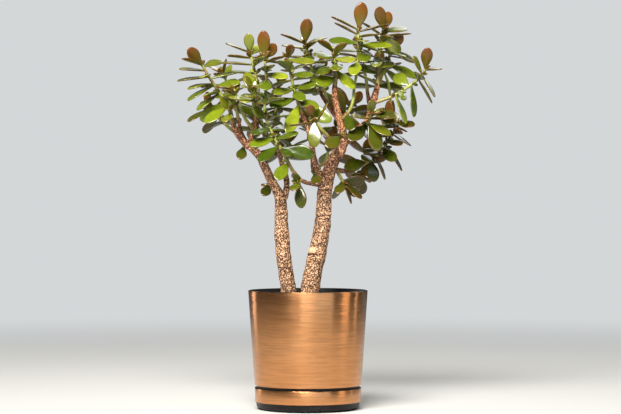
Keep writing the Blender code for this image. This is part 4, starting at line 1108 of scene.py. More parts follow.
# %% The table of set leaves
SET_LEAVES = {
    "shoot_top": [
        (70, 525, 74, 561, 37, 20, "back"), (69, 522, 32, 541, 42, 17, "up"),
        (70, 521, 112, 531, -44, 17, "up"), (70, 514, 98, 515, 36, 16, "up"),
        (67, 505, 29, 509, 41, 19, "half"), (67, 502, 116, 499, 49, 19, "half"),
        (68, 490, 82, 478, 38, 20, "half"), (68, 494, 96, 487, -37, 18, "half"),
        (53, 406, 61, 383, 33, 18, "front"),
    ],
    "shoot_right_upper": [
        (105, 526, 97, 555, 36, 17, "back"), (105, 526, 114, 551, -32, 16, "back"),
        (105, 521, 138, 529, -39, 19, "half"), (104, 515, 142, 518, 39, 17, "up"),
        (102, 509, 130, 497, -38, 20, "front"), (98, 462, 63, 475, 43, 18, "half"),
        (99, 472, 120, 480, -36, 18, "half"), (98, 480, 70, 481, -38, 18, "up"),
    ],
    "shoot_right_upper_back": [
        (117, 498, 150, 482, 38, 19, "half"), (116, 496, 155, 487, -47, 18, "half"),
        (112, 486, 103, 473, 34, 17, "half"), (109, 479, 153, 460, 46, 18, "half"),
    ],
    "shoot_far_right": [
        (163, 470, 165, 498, 33, 17, "back"), (163, 468, 183, 468, 31, 15, "up"),
        (158, 462, 144, 485, 34, 16, "right"), (158, 461, 175, 430, 38, 17, "turned"),
        (152, 456, 172, 423, -39, 16, "up"), (143, 448, 146, 403, 46, 18, "turned"),
        (121, 434, 135, 393, 44, 18, "turned"), (140, 446, 119, 464, -36, 20, "front"),
    ],
    "shoot_right_center": [
        (34, 493, 15, 507, 34, 16, "up"), (34, 493, 50, 503, 34, 16, "up"),
        (36, 484, 7, 486, 38, 19, "half"), (36, 483, 64, 478, 39, 19, "half"),
        (38, 473, 11, 460, 37, 18, "half"), (39, 467, 63, 440, 42, 19, "half"),
        (37, 457, 11, 448, 39, 20, "front"),
    ],
    "shoot_center_back": [
        (-4, 508, -2, 540, 37, 18, "back"), (-4, 506, -38, 519, 38, 17, "up"),
        (-3, 505, 27, 517, -37, 17, "up"), (-2, 499, 7, 507, 34, 18, "half"),
        (2, 487, -37, 489, 40, 17, "up"), (2, 486, 19, 498, -36, 17, "up"),
    ],
    "shoot_center_upper": [
        (-13, 420, -27, 378, 46, 19, "front"), (-13, 420, 32, 396, 52, 21, "front"),
        (-28, 484, -22, 500, 27, 13, "back"), (-28, 481, 9, 475, 43, 19, "half"),
        (-23, 460, 6, 457, 38, 18, "half"), (-19, 442, 11, 444, 38, 18, "half"),
        (-19, 440, -49, 433, 40, 18, "half"), (-15, 428, -52, 416, 44, 20, "half"),
        (-14, 427, 14, 412, 42, 20, "half"),
    ],
    "shoot_front_center": [(8, 397, 9, 359, 39, 19, "front")],
    "shoot_front_left": [
        (-59, 483, -62, 519, 38, 18, "back"), (-59, 483, -45, 503, -32, 17, "back"),
        (-58, 476, -33, 483, 35, 18, "up"), (-57, 460, -28, 453, 38, 18, "half"),
        (-57, 452, -58, 436, 36, 19, "half"), (-59, 428, -74, 434, 34, 18, "half"),
        (-57, 402, -74, 408, 34, 18, "front"), (-56, 399, -27, 402, 37, 18, "up"),
        (-52, 386, -74, 376, 35, 18, "half"), (-50, 383, -27, 388, -36, 18, "half"),
        (-45, 372, -78, 361, 39, 18, "half"), (-44, 371, -13, 378, 38, 18, "half"),
        (-39, 362, -67, 340, 41, 18, "half"), (-37, 359, 9, 350, 49, 21, "front"),
        (-27, 339, -42, 315, 38, 18, "front"),
    ],
    "shoot_left_upper": [
        (-80, 492, -113, 503, 36, 16, "up"), (-80, 492, -82, 516, 28, 15, "front"),
        (-79, 488, -66, 502, -32, 17, "half"), (-76, 474, -119, 476, 44, 17, "up"),
        (-75, 472, -60, 481, 36, 17, "up"), (-72, 462, -106, 463, 38, 18, "up"),
        (-72, 459, -44, 458, -37, 18, "up"), (-70, 445, -94, 441, 36, 18, "up"),
        (-69, 432, -95, 423, 37, 20, "half"),
    ],
    "shoot_far_left": [
        (-146, 475, -163, 495, 34, 17, "back"), (-145, 473, -173, 480, 35, 16, "up"),
        (-144, 471, -118, 481, -34, 17, "half"), (-141, 466, -176, 467, 38, 17, "up"),
        (-136, 457, -179, 451, 45, 18, "up"), (-134, 455, -96, 465, -42, 18, "up"),
        (-129, 446, -165, 424, 44, 18, "up"), (-127, 445, -93, 449, 39, 18, "half"),
        (-121, 435, -152, 411, 41, 17, "up"), (-112, 421, -149, 399, -46, 20, "front"),
        (-110, 417, -141, 394, 41, 19, "half"),
    ],
    "shoot_left_back_out": [(-139, 419, -169, 399, 40, 17, "up")],
    "shoot_left_hang": [(-88, 361, -93, 344, 27, 15, "front")],
    "shoot_left_behind": [(-54, 309, -61, 294, 28, 15, "front")],
    "shoot_front_low": [(-12, 312, -9, 277, 36, 17, "front")],
    "shoot_front_low_right": [(9, 324, 13, 310, 26, 15, "half")],
    "shoot_front_right": [(44, 374, 25, 359, 33, 19, "front")],
    "shoot_right_front": [(81, 392, 57, 369, 41, 21, "front"), (82, 394, 112, 376, 38, 17, "half")],
    "shoot_right_mid": [(124, 395, 147, 391, 36, 17, "half"), (103, 391, 124, 389, 36, 18, "half")],
    "shoot_front_right_up": [(93, 411, 127, 396, 42, 21, "front")],
    "shoot_low_right": [
        (118, 380, 144, 366, -37, 18, "half"), (116, 378, 87, 381, 35, 17, "half"),
        (113, 372, 128, 364, 34, 18, "half"), (108, 366, 131, 329, 44, 17, "right"),
        (105, 362, 119, 341, 36, 18, "front"), (102, 358, 79, 353, 37, 19, "half"),
        (94, 351, 107, 317, 38, 17, "right"), (90, 347, 93, 314, 37, 18, "front"),
        (82, 342, 50, 334, 38, 19, "front"),
    ],
    "shoot_low_right_hang": [(64, 326, 66, 293, 38, 19, "front"), (70, 325, 77, 297, -36, 18, "front")],
    "shoot_low_right_small": [
        (51, 310, 73, 290, 33, 15, "up"), (50, 311, 60, 283, 32, 15, "right"),
        (49, 313, 41, 297, 27, 15, "half"),
    ],
}
print("set leaves:", sum(len(rows) for rows in SET_LEAVES.values()))

# %% [markdown]
# ## From a row to a leaf
#
# A row gives only what can be seen from the front. The true length is the longest side of a right triangle, and
# the length that is seen is another, so the third side is how far the tip stands nearer or further away.

# %% Set a leaf
SET_ARCH = 0.07
LOOKS = {"up": (0, -0.15, 1), "half": (0, -0.65, 0.75), "front": (0, -1, 0.2), "back": (0, 1, 0.2),
         "turned": (0.85, -0.5, 0.1), "right": (1, -0.4, 0.3)}


def set_leaf(stem, row, deeper=0, shrink=1, slip=0):
    """A leaf whose root and tip are given as they are seen from the front.

    Its tip may be set deeper, it may shrink, and its root may slip down the stem.
    """
    root_x, root_z, tip_x, tip_z, length, width, look = row
    spot = place_on(stem, seen_at(stem, root_x * MM, root_z * MM) + slip)
    if spot is None:
        return None
    base = spot[0]
    reach = Vector((tip_x * MM - base.x, 0, tip_z * MM - base.z))
    depth = math.sqrt(max(0, (length * MM) ** 2 - reach.length_squared))
    reach.y = deeper - math.copysign(depth, length)
    reach *= shrink
    upper = Vector(LOOKS[look])
    upper = (upper - reach * upper.dot(reach) / reach.length_squared).normalized()
    way = reach + upper * SET_ARCH * reach.length
    return make_leaf(base, way, upper, way.length, width * MM * (0.3 + 0.7 * shrink), SET_ARCH)


first = set_leaf(stems["shoot_top"], SET_LEAVES["shoot_top"][0])
print("the top leaf is", round(first.length / MM), "mm long")

# %% [markdown]
# ## Keeping leaves apart
#
# Real leaves push each other aside as they grow. Here each leaf is tested against sample points of everything
# that has grown before it. Near its own root a leaf may touch the stem it grows from.

# %% Room for a leaf
LEAF_REACH = 2.55 * MM
STEM_REACH = 0.95 * MM
ROOT_SHARE = 0.35
SAMPLED_ALONG = (0.12, 0.24, 0.36, 0.48, 0.60, 0.72, 0.84, 0.93, 1.0)
SAMPLED_ACROSS = (-1, -0.5, 0, 0.5, 1)


def leaf_samples(leaf):
    """Points spread over a leaf, and which of them are near its root."""
    places, root = [], []
    for s in SAMPLED_ALONG:
        for u in SAMPLED_ACROSS if s < 1 else (0,):
            places.append(on_leaf(leaf, s, u, 0))
            root.append(s < ROOT_SHARE)
    return np.array(places), np.array(root)


class Crowd:
    """Sample points of all that has grown so far, to keep new leaves clear of it."""

    def __init__(self):
        self.places = np.zeros((0, 3))
        self.reach = np.zeros(0)
        self.owner = np.zeros(0, int)
        self.root = np.zeros(0, bool)

    def add(self, places, reach, owner, root):
        """Adds points that keep others so far away, with the shoot that owns them."""
        count = len(places)
        self.places = np.vstack([self.places, places])
        self.reach = np.append(self.reach, np.broadcast_to(reach, count))
        self.owner = np.append(self.owner, np.full(count, owner))
        self.root = np.append(self.root, np.broadcast_to(root, count))

    def add_stem(self, stem, owner):
        """Adds points along a stem."""
        places, radii = along_stem(stem, 2.5 * MM)
        self.add(places, radii + STEM_REACH, owner, True)

    def add_leaf(self, leaf, owner):
        """Adds points all over a leaf."""
        places, root = leaf_samples(leaf)
        self.add(places, LEAF_REACH, owner, root)

    def has_room(self, leaf, owner):
        """Whether a leaf is clear of all that has grown, apart from its own stem near its root."""
        places, root = leaf_samples(leaf)
        middle = places.mean(axis=0)
        near = np.linalg.norm(self.places - middle, axis=1) < leaf.length * 0.75 + 16 * MM
        spans = np.linalg.norm(places[:, None] - self.places[near][None], axis=2)
        close = spans < LEAF_REACH + self.reach[near][None]
        own = (self.owner[near] == owner)[None]
        return not (close & ~(own & (self.root[near][None] | root[:, None]))).any()


print("sample points on a leaf:", len(leaf_samples(first)[0]))

# %% [markdown]
# ## Ways to make room
#
# A leaf without room is bent, and one that is set one by one is shifted, until it fits. All the ways to do so
# are listed once, and sorted by how much they would change the leaf.

# %% Sort the ways to make room
def ways_to_bend():
    """Turns about the stem, tilts and shrinkings to try on a leaf that has no room, the mildest first."""
    found = [(turn, tilt, shrink) for shrink in (1, 0.86, 0.72) for tilt in (0, -12, 12, -24, 24)
             for turn in (0, 13, -13, 26, -26, 40, -40)]
    return sorted(found, key=lambda w: abs(w[0]) / 13 + abs(w[1]) / 10 + (1 - w[2]) * 9)


def ways_to_fit():
    """Shifts in depth, shrinkings and slips to try on a set leaf that has no room, the mildest first."""
    found = [(deeper * MM, shrink, slip * MM) for deeper in (0, -6, 6, -12, 12, -18, 18, -26, 26)
             for shrink in (1, 0.93, 0.85) for slip in (0, 3, 6)]
    return sorted(found, key=lambda w: abs(w[0]) / (6 * MM) + (1 - w[1]) * 10 + w[2] / (2.5 * MM))


BENDS = ways_to_bend()
FITS = ways_to_fit()
print("ways to bend a leaf:", len(BENDS), "and to shift one:", len(FITS))

# %% [markdown]
# ## Leaves in pairs
#
# The rest of the crown fills itself. Each pair of jade leaves stands crosswise to the pair below it. Young pairs
# at the tip still point along the stem, and older ones lean out further and further. Chance changes each leaf's
# turn, tilt and size a little. The tables below start with the pair at the tip.

# %% One leaf of a pair
UP = Vector((0, 0, 1))
LEAN = (34, 64, 78, 87, 94, 99, 103, 106, 108, 110)
SIZE = (0.66, 0.93, 1.02, 1.02, 0.97, 0.92, 0.9, 0.88, 0.86, 0.84)
ARCH = (0.02, 0.06, 0.10, 0.13, 0.16, 0.18, 0.18, 0.18, 0.18, 0.18)
SWING = 12
NOD = 7


def pair_distance(pair):
    """How far below the tip a pair of leaves stands, the pairs counted from the tip."""
    return ROOT_SINK + (6.5 * pair + 1.2 * pair**2) * MM


def paired_leaf(stem, pair, side, turn, chance, bend):
    """One leaf of a pair, changed a little by chance, and bent clear of what is there."""
    spot = place_on(stem, pair_distance(pair))
    if spot is None:
        return None
    base, axis = spot
    right = (Vector((1, 0, 0)) - axis * axis.x).normalized()
    back = axis.cross(right)
    swing, nod, grow, roll, tint = chance
    angle = math.radians(turn + 90 * ((pair + 1) % 2) + 180 * side + SWING * swing + bend[0])
    lean = math.radians(LEAN[pair] + NOD * nod + bend[1])
    outward = right * math.cos(angle) + back * math.sin(angle)
    way = axis * math.cos(lean) + outward * math.sin(lean)
    face = axis * 0.75 + UP * 0.45 + axis.cross(outward) * 0.18 * roll
    if pair == 0:
        face = axis * 0.2 - outward
    length = LEAF_LENGTH * SIZE[pair] * (1 + 0.09 * grow) * bend[2]
    width = length * (0.60 if pair == 0 else 0.50 + 0.03 * tint)
    return make_leaf(base, way, face, length, width, ARCH[pair])


print("pairs below the tip, mm:", [round(pair_distance(pair) / MM) for pair in range(len(LEAN))])

# %% [markdown]
# ## Filling the crown
#
# The set leaves are placed first, so that nothing can take their room. Then all shoots grow together, a pair at
# a time from their tips down, as a real plant would share its room among them. A leaf that doesn't fit in any
# way is left out. Each leaf draws its chances from a seed of its own, so the plant is the same in every run.

# %% Grow the leaves
SEED = 7
CROWDED = 3 * MM
LONGEST = 53 * MM


def free_sides(name, stem, pair):
    """The sides on which a pair's leaves may stand, because no set leaves stand there."""
    here = pair_distance(pair)
    rows = SET_LEAVES.get(name, [])
    taken = sum(abs(seen_at(stem, row[0] * MM, row[1] * MM) - here) < CROWDED for row in rows)
    return (0, 1)[min(taken, 2):] if pair < SHOOTS[name][0] else ()


def place_set_leaves(stems, leaves, crowd):
    """Places the leaves that are set one by one."""
    for owner, (name, stem) in enumerate(stems.items()):
        for row in SET_LEAVES.get(name, []):
            for fit in FITS:
                leaf = set_leaf(stem, row, *fit)
                if leaf and leaf.length < LONGEST and crowd.has_room(leaf, owner):
                    crowd.add_leaf(leaf, owner)
                    leaves[name].append(leaf)
                    break
            else:
                print("no room on", name, "for the leaf", row)


def place_pairs(stems, leaves, crowd):
    """Fills the shoots with pairs of leaves, on all of them from the tip down."""
    for pair in range(max(pairs for pairs, _, _ in SHOOTS.values())):
        for owner, (name, stem) in enumerate(stems.items()):
            for side in free_sides(name, stem, pair):
                draw = random.Random(f"{SEED} {name} {pair} {side}")
                chance = [draw.uniform(-1, 1) for _ in range(5)]
                for bend in BENDS:
                    leaf = paired_leaf(stem, pair, side, SHOOTS[name][1], chance, bend)
                    if leaf and crowd.has_room(leaf, owner):
                        crowd.add_leaf(leaf, owner)
                        leaves[name].append(leaf)
                        break


leaves = {name: [] for name in SHOOTS}
crowd = Crowd()
for wood in left_woods + right_woods:
    crowd.add_stem(wood, -1)
for owner, stem in enumerate(stems.values()):
    crowd.add_stem(stem, owner)
place_set_leaves(stems, leaves, crowd)
place_pairs(stems, leaves, crowd)
print("leaves:", sum(len(found) for found in leaves.values()))

# %% [markdown]
# ## Drawing a stem
#
# A stem is swept rather than rolled from a tube: it starts as a small round face, which is extruded along the
# path again and again, and each time turned to the new direction and scaled to the new radius. This closes both
# ends by itself. The turning is carried on from ring to ring, so that the skin never twists.

# %% Helpers that sweep a stem
RING_SPACING = 2.2 * MM


def finer(stem, spacing):
    """The same stem with its places closer together, on a smooth curve."""
    knots = [(*(p / MM), r / MM) for p, r in zip(stem.points, stem.radii)]
    steps = max(1, round((stem.points[1] - stem.points[0]).length / spacing))
    path = smooth_path([Vector(k) * MM for k in knots], steps)
    return [p.xyz for p in path], [p.w for p in path]


def ring_places(points, radii):
    """A matrix for each ring, which turns on from the one before it."""
    ways = [(b - a).normalized() for a, b in zip(points, points[1:])]
    ways = [ways[0], *[(a + b).normalized() for a, b in zip(ways, ways[1:])], ways[-1]]
    turn_now = UP.rotation_difference(ways[0])
    places = []
    for i, (point, radius) in enumerate(zip(points, radii)):
        if i:
            turn_now = ways[i - 1].rotation_difference(ways[i]) @ turn_now
        places.append(Matrix.Translation(point) @ turn_now.to_matrix().to_4x4() @ Matrix.Scale(radius, 4))
    return places


def sweep(shape, points, radii, sides):
    """Extrudes a round face along a path, once for each of its places."""
    places = ring_places(points, radii)
    ring = bmesh.ops.create_circle(shape, cap_ends=True, radius=1, segments=sides, matrix=places[0])["verts"]
    face = ring[0].link_faces[0]
    for before, after in zip(places, places[1:]):
        grown = bmesh.ops.extrude_face_region(shape, geom=[face])["geom"]
        ring = [g for g in grown if isinstance(g, bmesh.types.BMVert)]
        face = next(g for g in grown if isinstance(g, bmesh.types.BMFace))
        bmesh.ops.transform(shape, matrix=after @ before.inverted(), verts=ring)
    return shape


print("rings in the top shoot:", len(finer(stems["shoot_top"], RING_SPACING)[0]))

# %% [markdown]
# ## Wood in one skin
#
# The trunks are swept with lumps and hollows along them, and then joined where limbs fork off. A voxel remesh
# joins them: it wraps all the tubes in one even skin of small squares, and smoothing rounds off the forks.

# %% Helpers that make and join wood
SKIN = 0.95 * MM
WOOD_SIDES = 28


def wavy(stem):
    """A woody stem with finely spaced places, and lumps and hollows along it."""
    points, radii = finer(stem, 3 * MM)
    swells = [1 + 0.06 * noise.noise(p * 60) + 0.04 * noise.noise(p * 150) for p in points]
    return points, [radius * swell for radius, swell in zip(radii, swells)]


def remeshed(shape, size):
    """Joins everything in a bmesh into one even skin."""
    rough = finish_object("wood", shape)
    skin = rough.modifiers.new("skin", "REMESH")
    skin.mode = "VOXEL"
    skin.voxel_size = size
    graph = bpy.context.evaluated_depsgraph_get()
    joined = bmesh.new()
    joined.from_mesh(rough.evaluated_get(graph).to_mesh())
    bpy.data.objects.remove(rough)
    return joined


def join_wood(woods):
    """All the stems of one tree in one smooth skin."""
    shape = bmesh.new()
    for wood in woods:
        sweep(shape, *wavy(wood), WOOD_SIDES)
    bmesh.ops.recalc_face_normals(shape, faces=shape.faces)
    skin = remeshed(shape, SKIN)
    for _ in range(3):
        bmesh.ops.smooth_vert(
            skin, verts=skin.verts, factor=0.5, use_axis_x=True, use_axis_y=True, use_axis_z=True)
    skin.normal_update()
    return skin


print("squares in the skin are", round(SKIN / MM, 2), "mm wide")

# %% [markdown]
# ## Relief of the bark
#
# Every point of the skin is pushed in or out. Broad noise makes the wood lumpy, cells make the corky flakes, and
# noise that is squeezed in height makes the rings left by old leaves. A few deep rings mark where branches were
# once cut, and on the front of the right trunk a pale oval patch does, over a groove that is painted dark as
# shade.

# %% Helpers that measure the relief
RINGS = {
    "trunk_left": [(196, 0.2), (241, 0.25), (270, 0.2), (289, 0.45)],
    "trunk_right": [(186, 0.15), (214, 0.35), (240, 0.15), (268, 0.3), (303, 0.65), (334, 0.25)],
}
CUT = Vector((5, -14, 219)) * MM


def held(value):
    """A number that is held between 0 and 1."""
    return min(1.0, max(0.0, value))


def ring_relief(height, rings):
    """How far the cut rings push the bark out, in millimetres: a lip, with a groove under it."""
    push = 0.0
    for level, strength in rings:
        off = height / MM - level
        lip, groove = math.exp(-((off - 1.6) / 1.7) ** 2), math.exp(-((off + 1.2) / 1.0) ** 2)
        push += strength * (0.8 * lip - 1.1 * groove)
    return push


def bark_relief(place):
    """The depth of the bark in millimetres, and how high a point lies between its cracks."""
    squeezed = Vector((place.x * 60, place.y * 60, place.z * 300))
    lumps = noise.noise(place * 85)
    wrinkles = noise.noise(squeezed)
    near = noise.voronoi(Vector((place.x * 300, place.y * 300, place.z * 380)))[0]
    flake = min(1.0, 1.8 * (near[1] - near[0]))
    pits = noise.noise(place * 850)
    depth = 0.75 * lumps + 0.22 * wrinkles + 0.8 * (flake - 0.5) + 0.3 * pits
    return depth, held(0.5 + 0.5 * (flake - 0.5) + 0.10 * wrinkles + 0.35 * pits)


def cut_patch(place):
    """How far a point lies inside the old pruning cut, from 0 to 1, and inside the groove under it."""
    off = (place - CUT) / MM
    in_front = off.y < 12
    patch = math.exp(-((off.x / 6.5) ** 2 + (off.z / 4.2) ** 2)) * in_front
    groove = math.exp(-(((off.z + 5.2 + 0.02 * off.x * off.x) / 0.9) ** 2 + (off.x / 9) ** 4)) * in_front
    return patch, groove


print("cut rings:", sum(len(rings) for rings in RINGS.values()))

# %% [markdown]
# ## Old and young bark
#
# The bark is thick on the trunks and thin on the limbs, so its relief fades with height. Each point also keeps
# its height between the cracks, its youth, and its scar with the shade of the groove under it as attributes.
# From them the material paints the bark's colour, with painted highlight on the flakes and painted shade in the
# cracks and grooves.

# %% Dress the trunks
OLD_UP_TO = 285
FADES_OVER = 110


def make_tree(name, woods):
    """A trunk with its limbs and its bark."""
    skin = join_wood(woods)
    heights, youths, scars = (skin.verts.layers.float.new(label) for label in ("height", "youth", "scar_and_shade"))
    for vertex in skin.verts:
        place = vertex.co.copy()
        youth = held((place.z / MM - OLD_UP_TO) / FADES_OVER)
        depth, height = bark_relief(place)
        rings = ring_relief(place.z + 1.2 * MM * noise.noise(place * 120), RINGS[name]) if youth < 1 else 0.0
        patch, groove = cut_patch(place) if name == "trunk_right" else (0.0, 0.0)
        depth = depth * (1 - 0.75 * patch) + 1.3 * patch - 1.5 * groove
        vertex.co += vertex.normal * (depth * (1 - 0.62 * youth) + rings * (1 - youth)) * MM
        # These attributes paint the grooves under the rings and under the cut darker as shade, and the lips
        # pale.
        vertex[heights] = held(height + 0.22 * rings)
        vertex[scars] = held(0.5 + 0.35 * rings * (1 - youth) + 0.6 * patch - 0.8 * groove)
        vertex[youths] = youth
    return skin


for name, woods in (("trunk_left", left_woods), ("trunk_right", right_woods)):
    tree = finish_object(f"{name}_bark", make_tree(name, woods), BARK)
    tree.data.shade_smooth()
    stand_for(tree, name)

# %% [markdown]
# ## Fine leaves
#
# Every fine leaf starts as the same ball, with one pole at the root and one at the tip. The ball's own
# coordinates say how far along, how far sideways and how far up each point lies, so one sum shapes all the
# leaves of a shoot. To the shape of the frame's leaf it adds what makes a leaf look alive: a shallow groove
# along the upper side, a soft keel below, a slight bend to one side, a slight twist, and a tip rounded like a
# lip.

# %% A ball that becomes a leaf
BALL_MERIDIANS = 18
BALL_RINGS = 15

ball_shape = bmesh.new()
bmesh.ops.create_uvsphere(ball_shape, u_segments=BALL_MERIDIANS, v_segments=BALL_RINGS, radius=1)
ball = bpy.data.meshes.new("leaf ball")
ball_shape.to_mesh(ball)
ball_shape.free()
BALL = np.array([v.co for v in ball.vertices])
print("points in a leaf:", len(BALL))

# %% Shape the ball
def leaf_points(leaf, bend, twist):
    """Where each of the ball's points goes on a leaf, how near the margin, on which side and how far along."""
    x, y, z = BALL.T
    ring = np.maximum(np.hypot(x, y), 1e-6)
    u, v = np.where(ring > 0.01, x / ring, 0), np.where(ring > 0.01, y / ring, 0)
    s = (1 - z) / 2
    tapered = 1 - 0.10 * np.clip((s - 0.6) / 0.4, 0, 1) ** 1.5
    half = leaf.width / 2 * np.array([leaf_outline(t) for t in s]) * tapered
    blunt = np.sqrt(np.clip(1 - (np.clip(s - 0.93, 0, 1) / 0.07) ** 2, 0, 1))
    thick = LEAF_THICKNESS / 2 * np.array([leaf_flesh(t) for t in s]) * (0.15 + 0.85 * blunt)
    swell = np.sin(np.pi * s)
    groove = -0.30 * MM * np.exp(-((u / 0.22) ** 2)) * swell * np.where(v > 0, 1, 1.3)
    rise = LEAF_CUP * half * u * u - leaf.arch * leaf.length * s * s + v * thick + groove
    aside = half * u + bend * leaf.length * s * s
    turn = twist * s
    rise, aside = rise + aside * np.sin(turn), aside * np.cos(turn)
    side = leaf.face.cross(leaf.along)
    onward, outward, upward = (
        np.outer(far, way) for far, way in ((leaf.length * s, leaf.along), (aside, side), (rise, leaf.face)))
    points = np.array(leaf.base) + onward + outward + upward
    margin = np.maximum(np.abs(u), np.clip((s - 0.80) / 0.2, 0, 1) ** 1.5)
    return points, margin, (v < -0.05).astype(float), s


shaped = leaf_points(first, 0, 0)[0]
print("the top leaf reaches", round(shaped[:, 2].max() / MM), "mm high")

# %% [markdown]
# ## Buds and small leaves
#
# A shoot never ends in its last grown pair: two tiny leaves are just opening at its tip. Small pairs also start
# in the angle between an older leaf and the stem, and they make the crown look lived in.

# %% Small leaves
BUD_LENGTH = 9 * MM
BUD_WIDTH = 5 * MM
AXIL_SHARE = 0.6


def bud_leaves(stem):
    """Two tiny leaves, still closed around the tip of a shoot."""
    tip = stem.points[-1]
    way = (stem.points[-1] - stem.points[-2]).normalized()
    side = way.orthogonal().normalized()
    found = []
    for out in (side, -side):
        base, face = tip - way * 2 * MM, way * 0.2 - out
        found.append(make_leaf(base, way + out * 0.25, face, BUD_LENGTH, BUD_WIDTH, 0.05))
    return found


def axil_leaves(stem, leaves, dice):
    """Pairs of small leaves that start where an older leaf meets the stem."""
    found = []
    for leaf in leaves:
        if dice.random() > AXIL_SHARE:
            continue
        nearest = min(range(1, len(stem.points)), key=lambda i: (stem.points[i] - leaf.base).length)
        up = (stem.points[nearest] - stem.points[nearest - 1]).normalized()
        way = (leaf.along * 0.55 + up).normalized()
        side = way.cross(leaf.along).normalized()
        size = dice.uniform(6, 12) * MM
        for out in (side, -side):
            lean = (way + out * dice.uniform(0.5, 0.9)).normalized()
            found.append(make_leaf(leaf.base + up * 1.2 * MM, lean, way - out * 0.8, size, size * 0.5, 0.08))
    return found


print("tiny leaves at the tips:", sum(len(bud_leaves(stem)) for stem in stems.values()))

# %% [markdown]
# ## The stem under the leaves
#
# The stem is a little thicker at each pair of leaves, and has a thin brown scar just below it. At its foot it
# runs down into the wood, so that no gap shows between the two.

# %% Helpers for a shoot's stem
FOOT_DEPTH = 3.5 * MM


def swell_stem(points, radii, leaves):
    """Radii with a swelling where leaves stand, and how near each ring is to one."""
    roots = [leaf.base for leaf in leaves]
    swollen, near = [], []
    for point, radius in zip(points, radii):
        off = min(((point - root).length for root in roots), default=1.0) / MM
        swollen.append(radius * (1 + 0.14 * math.exp(-((off / 2.2) ** 2))))
        near.append(math.exp(-((off - 2.2) / 0.9) ** 2))
    return swollen, near


def sunk(points, radii):
    """Carries a shoot's stem down into the wood that it grows from."""
    way = (points[1] - points[0]).normalized()
    return [points[0] - way * FOOT_DEPTH, *points], [radii[0] * 0.95, *radii]


print("a stem is sunk", round(FOOT_DEPTH / MM, 1), "mm into the wood")

# %% [markdown]
# ## How light and how red
#
# Young leaves near the tip blush, most of all on the side that is turned to the sun. Leaves high in the crown
# are painted lighter as sunlit, and those low, on the right or at the back are painted darker as shade. Those
# low on the right are painted darker still as shade, and flushed red as well. Chance does the rest.

# %% Numbers for a leaf's colours
def leaf_numbers(leaf, tip, dice):
    """How light and how red a leaf is, its lightness partly painted sun and shade."""
    below = (leaf.base - tip).length / MM
    young = max(0.0, 1 - below / 26)
    # Painted light: leaves high in the crown are lighter, and those on the right and at the back darker as
    # painted shade.
    sunlit = held((leaf.base.z / MM - 300) / 170)
    tone_and_shade = 0.30 + 0.42 * sunlit + dice.uniform(-0.26, 0.26)
    tone_and_shade = tone_and_shade - 0.16 * max(0.0, leaf.base.x / 0.18) - 0.12 * (leaf.base.y > 0.03)
    blush = 0.85 * young + dice.uniform(-0.25, 0.35) * (0.6 if below < 60 else 0.35)
    if leaf.face.y > 0.5:
        blush += 0.4
    # Painted shade: leaves low on the right are darker, and they are flushed red as well.
    if leaf.base.x > 0.04 and leaf.base.z < 0.41:
        blush += 0.35
        tone_and_shade -= 0.12
    return held(tone_and_shade), held(blush)


shown = leaf_numbers(first, stems["shoot_top"].points[-1], random.Random(SEED))
print("how light and how red the top leaf may be:", [round(number, 2) for number in shown])

# %% [markdown]
# ## Whole shoots
#
# A shoot is one object: its stem, its grown leaves and its small ones. The stem is swept first, so its points
# and faces come first in the mesh. Then one ball is added for each leaf, and the balls' points are moved to
# their leaves all at once. The numbers that the materials read are kept beside the places and written with
# them.

# %% Helpers for a whole shoot
LABELS = ("tone_and_shade", "blush", "margin", "under", "along")
STEM_SIDES = 12


def stem_blush(scars, count):
    """How brown each point of a stem is: at its scars, and towards its foot."""
    last = len(scars) - 1
    rings = [min(last, i // STEM_SIDES) for i in range(count)]
    return [min(1.0, 0.75 * scars[ring] + 0.65 * max(0.0, 1 - ring / last * 2.2)) for ring in rings]


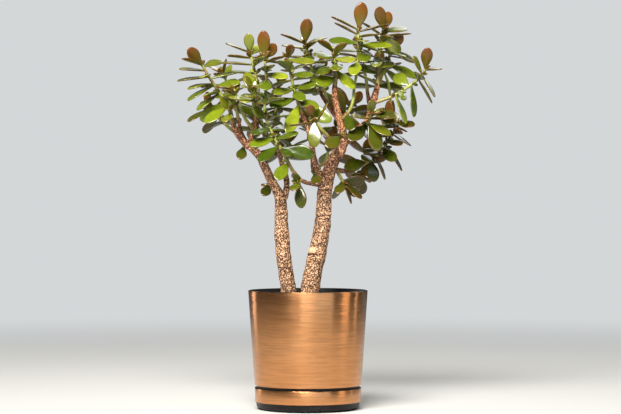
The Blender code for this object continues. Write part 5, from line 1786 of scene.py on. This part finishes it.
def write_numbers(mesh, places, numbers, stem_faces):
    """Writes the places of a shoot's points, their numbers, and which faces are the stem's."""
    mesh.vertices.foreach_set("co", places.ravel())
    for label, values in numbers.items():
        mesh.attributes.new(label, "FLOAT", "POINT").data.foreach_set("value", values)
    worn = np.zeros(len(mesh.polygons), int)
    worn[:stem_faces] = 1
    mesh.polygons.foreach_set("material_index", worn)
    mesh.update()


print("numbers for each point:", ", ".join(LABELS))

# %% Dress the shoots
def make_shoot(name, stem, leaves):
    """A shoot's stem and leaves in one mesh, with the numbers that its materials read."""
    dice = random.Random(f"{name} looks")
    shape = bmesh.new()
    points, radii = sunk(*finer(stem, RING_SPACING))
    radii, scars = swell_stem(points, radii, leaves)
    sweep(shape, points, radii, STEM_SIDES)
    bmesh.ops.recalc_face_normals(shape, faces=shape.faces)
    stem_points, stem_faces = len(shape.verts), len(shape.faces)
    blades = leaves + bud_leaves(stem) + axil_leaves(stem, leaves, random.Random(f"{name} axils"))
    for _ in blades:
        shape.from_mesh(ball)
    bmesh.ops.recalc_face_normals(shape, faces=shape.faces)
    piece = finish_object(f"{name}_leaves", shape, LEAF_SKIN, STEM_SKIN)
    piece.data.shade_smooth()
    places = np.array([v.co for v in piece.data.vertices])
    numbers = {label: np.zeros(len(places)) for label in LABELS}
    numbers["tone_and_shade"][:stem_points] = 0.5
    numbers["blush"][:stem_points] = stem_blush(scars, stem_points)
    for i, leaf in enumerate(blades):
        here = slice(stem_points + i * len(BALL), stem_points + (i + 1) * len(BALL))
        numbers["tone_and_shade"][here], numbers["blush"][here] = leaf_numbers(leaf, stem.points[-1], dice)
        bend, twist = dice.uniform(-0.035, 0.035), dice.uniform(-0.25, 0.25)
        places[here], *shares = leaf_points(leaf, bend, twist)
        for label, share in zip(("margin", "under", "along"), shares):
            numbers[label][here] = share
    write_numbers(piece.data, places, numbers, stem_faces)
    return piece


for name, stem in stems.items():
    stand_for(make_shoot(name, stem, leaves[name]), name)

# %% [markdown]
# ## Finish
#
# The ball that the leaves were shaped from is no longer needed, so it is removed.

# %% Remove the leaf ball
bpy.data.meshes.remove(ball)
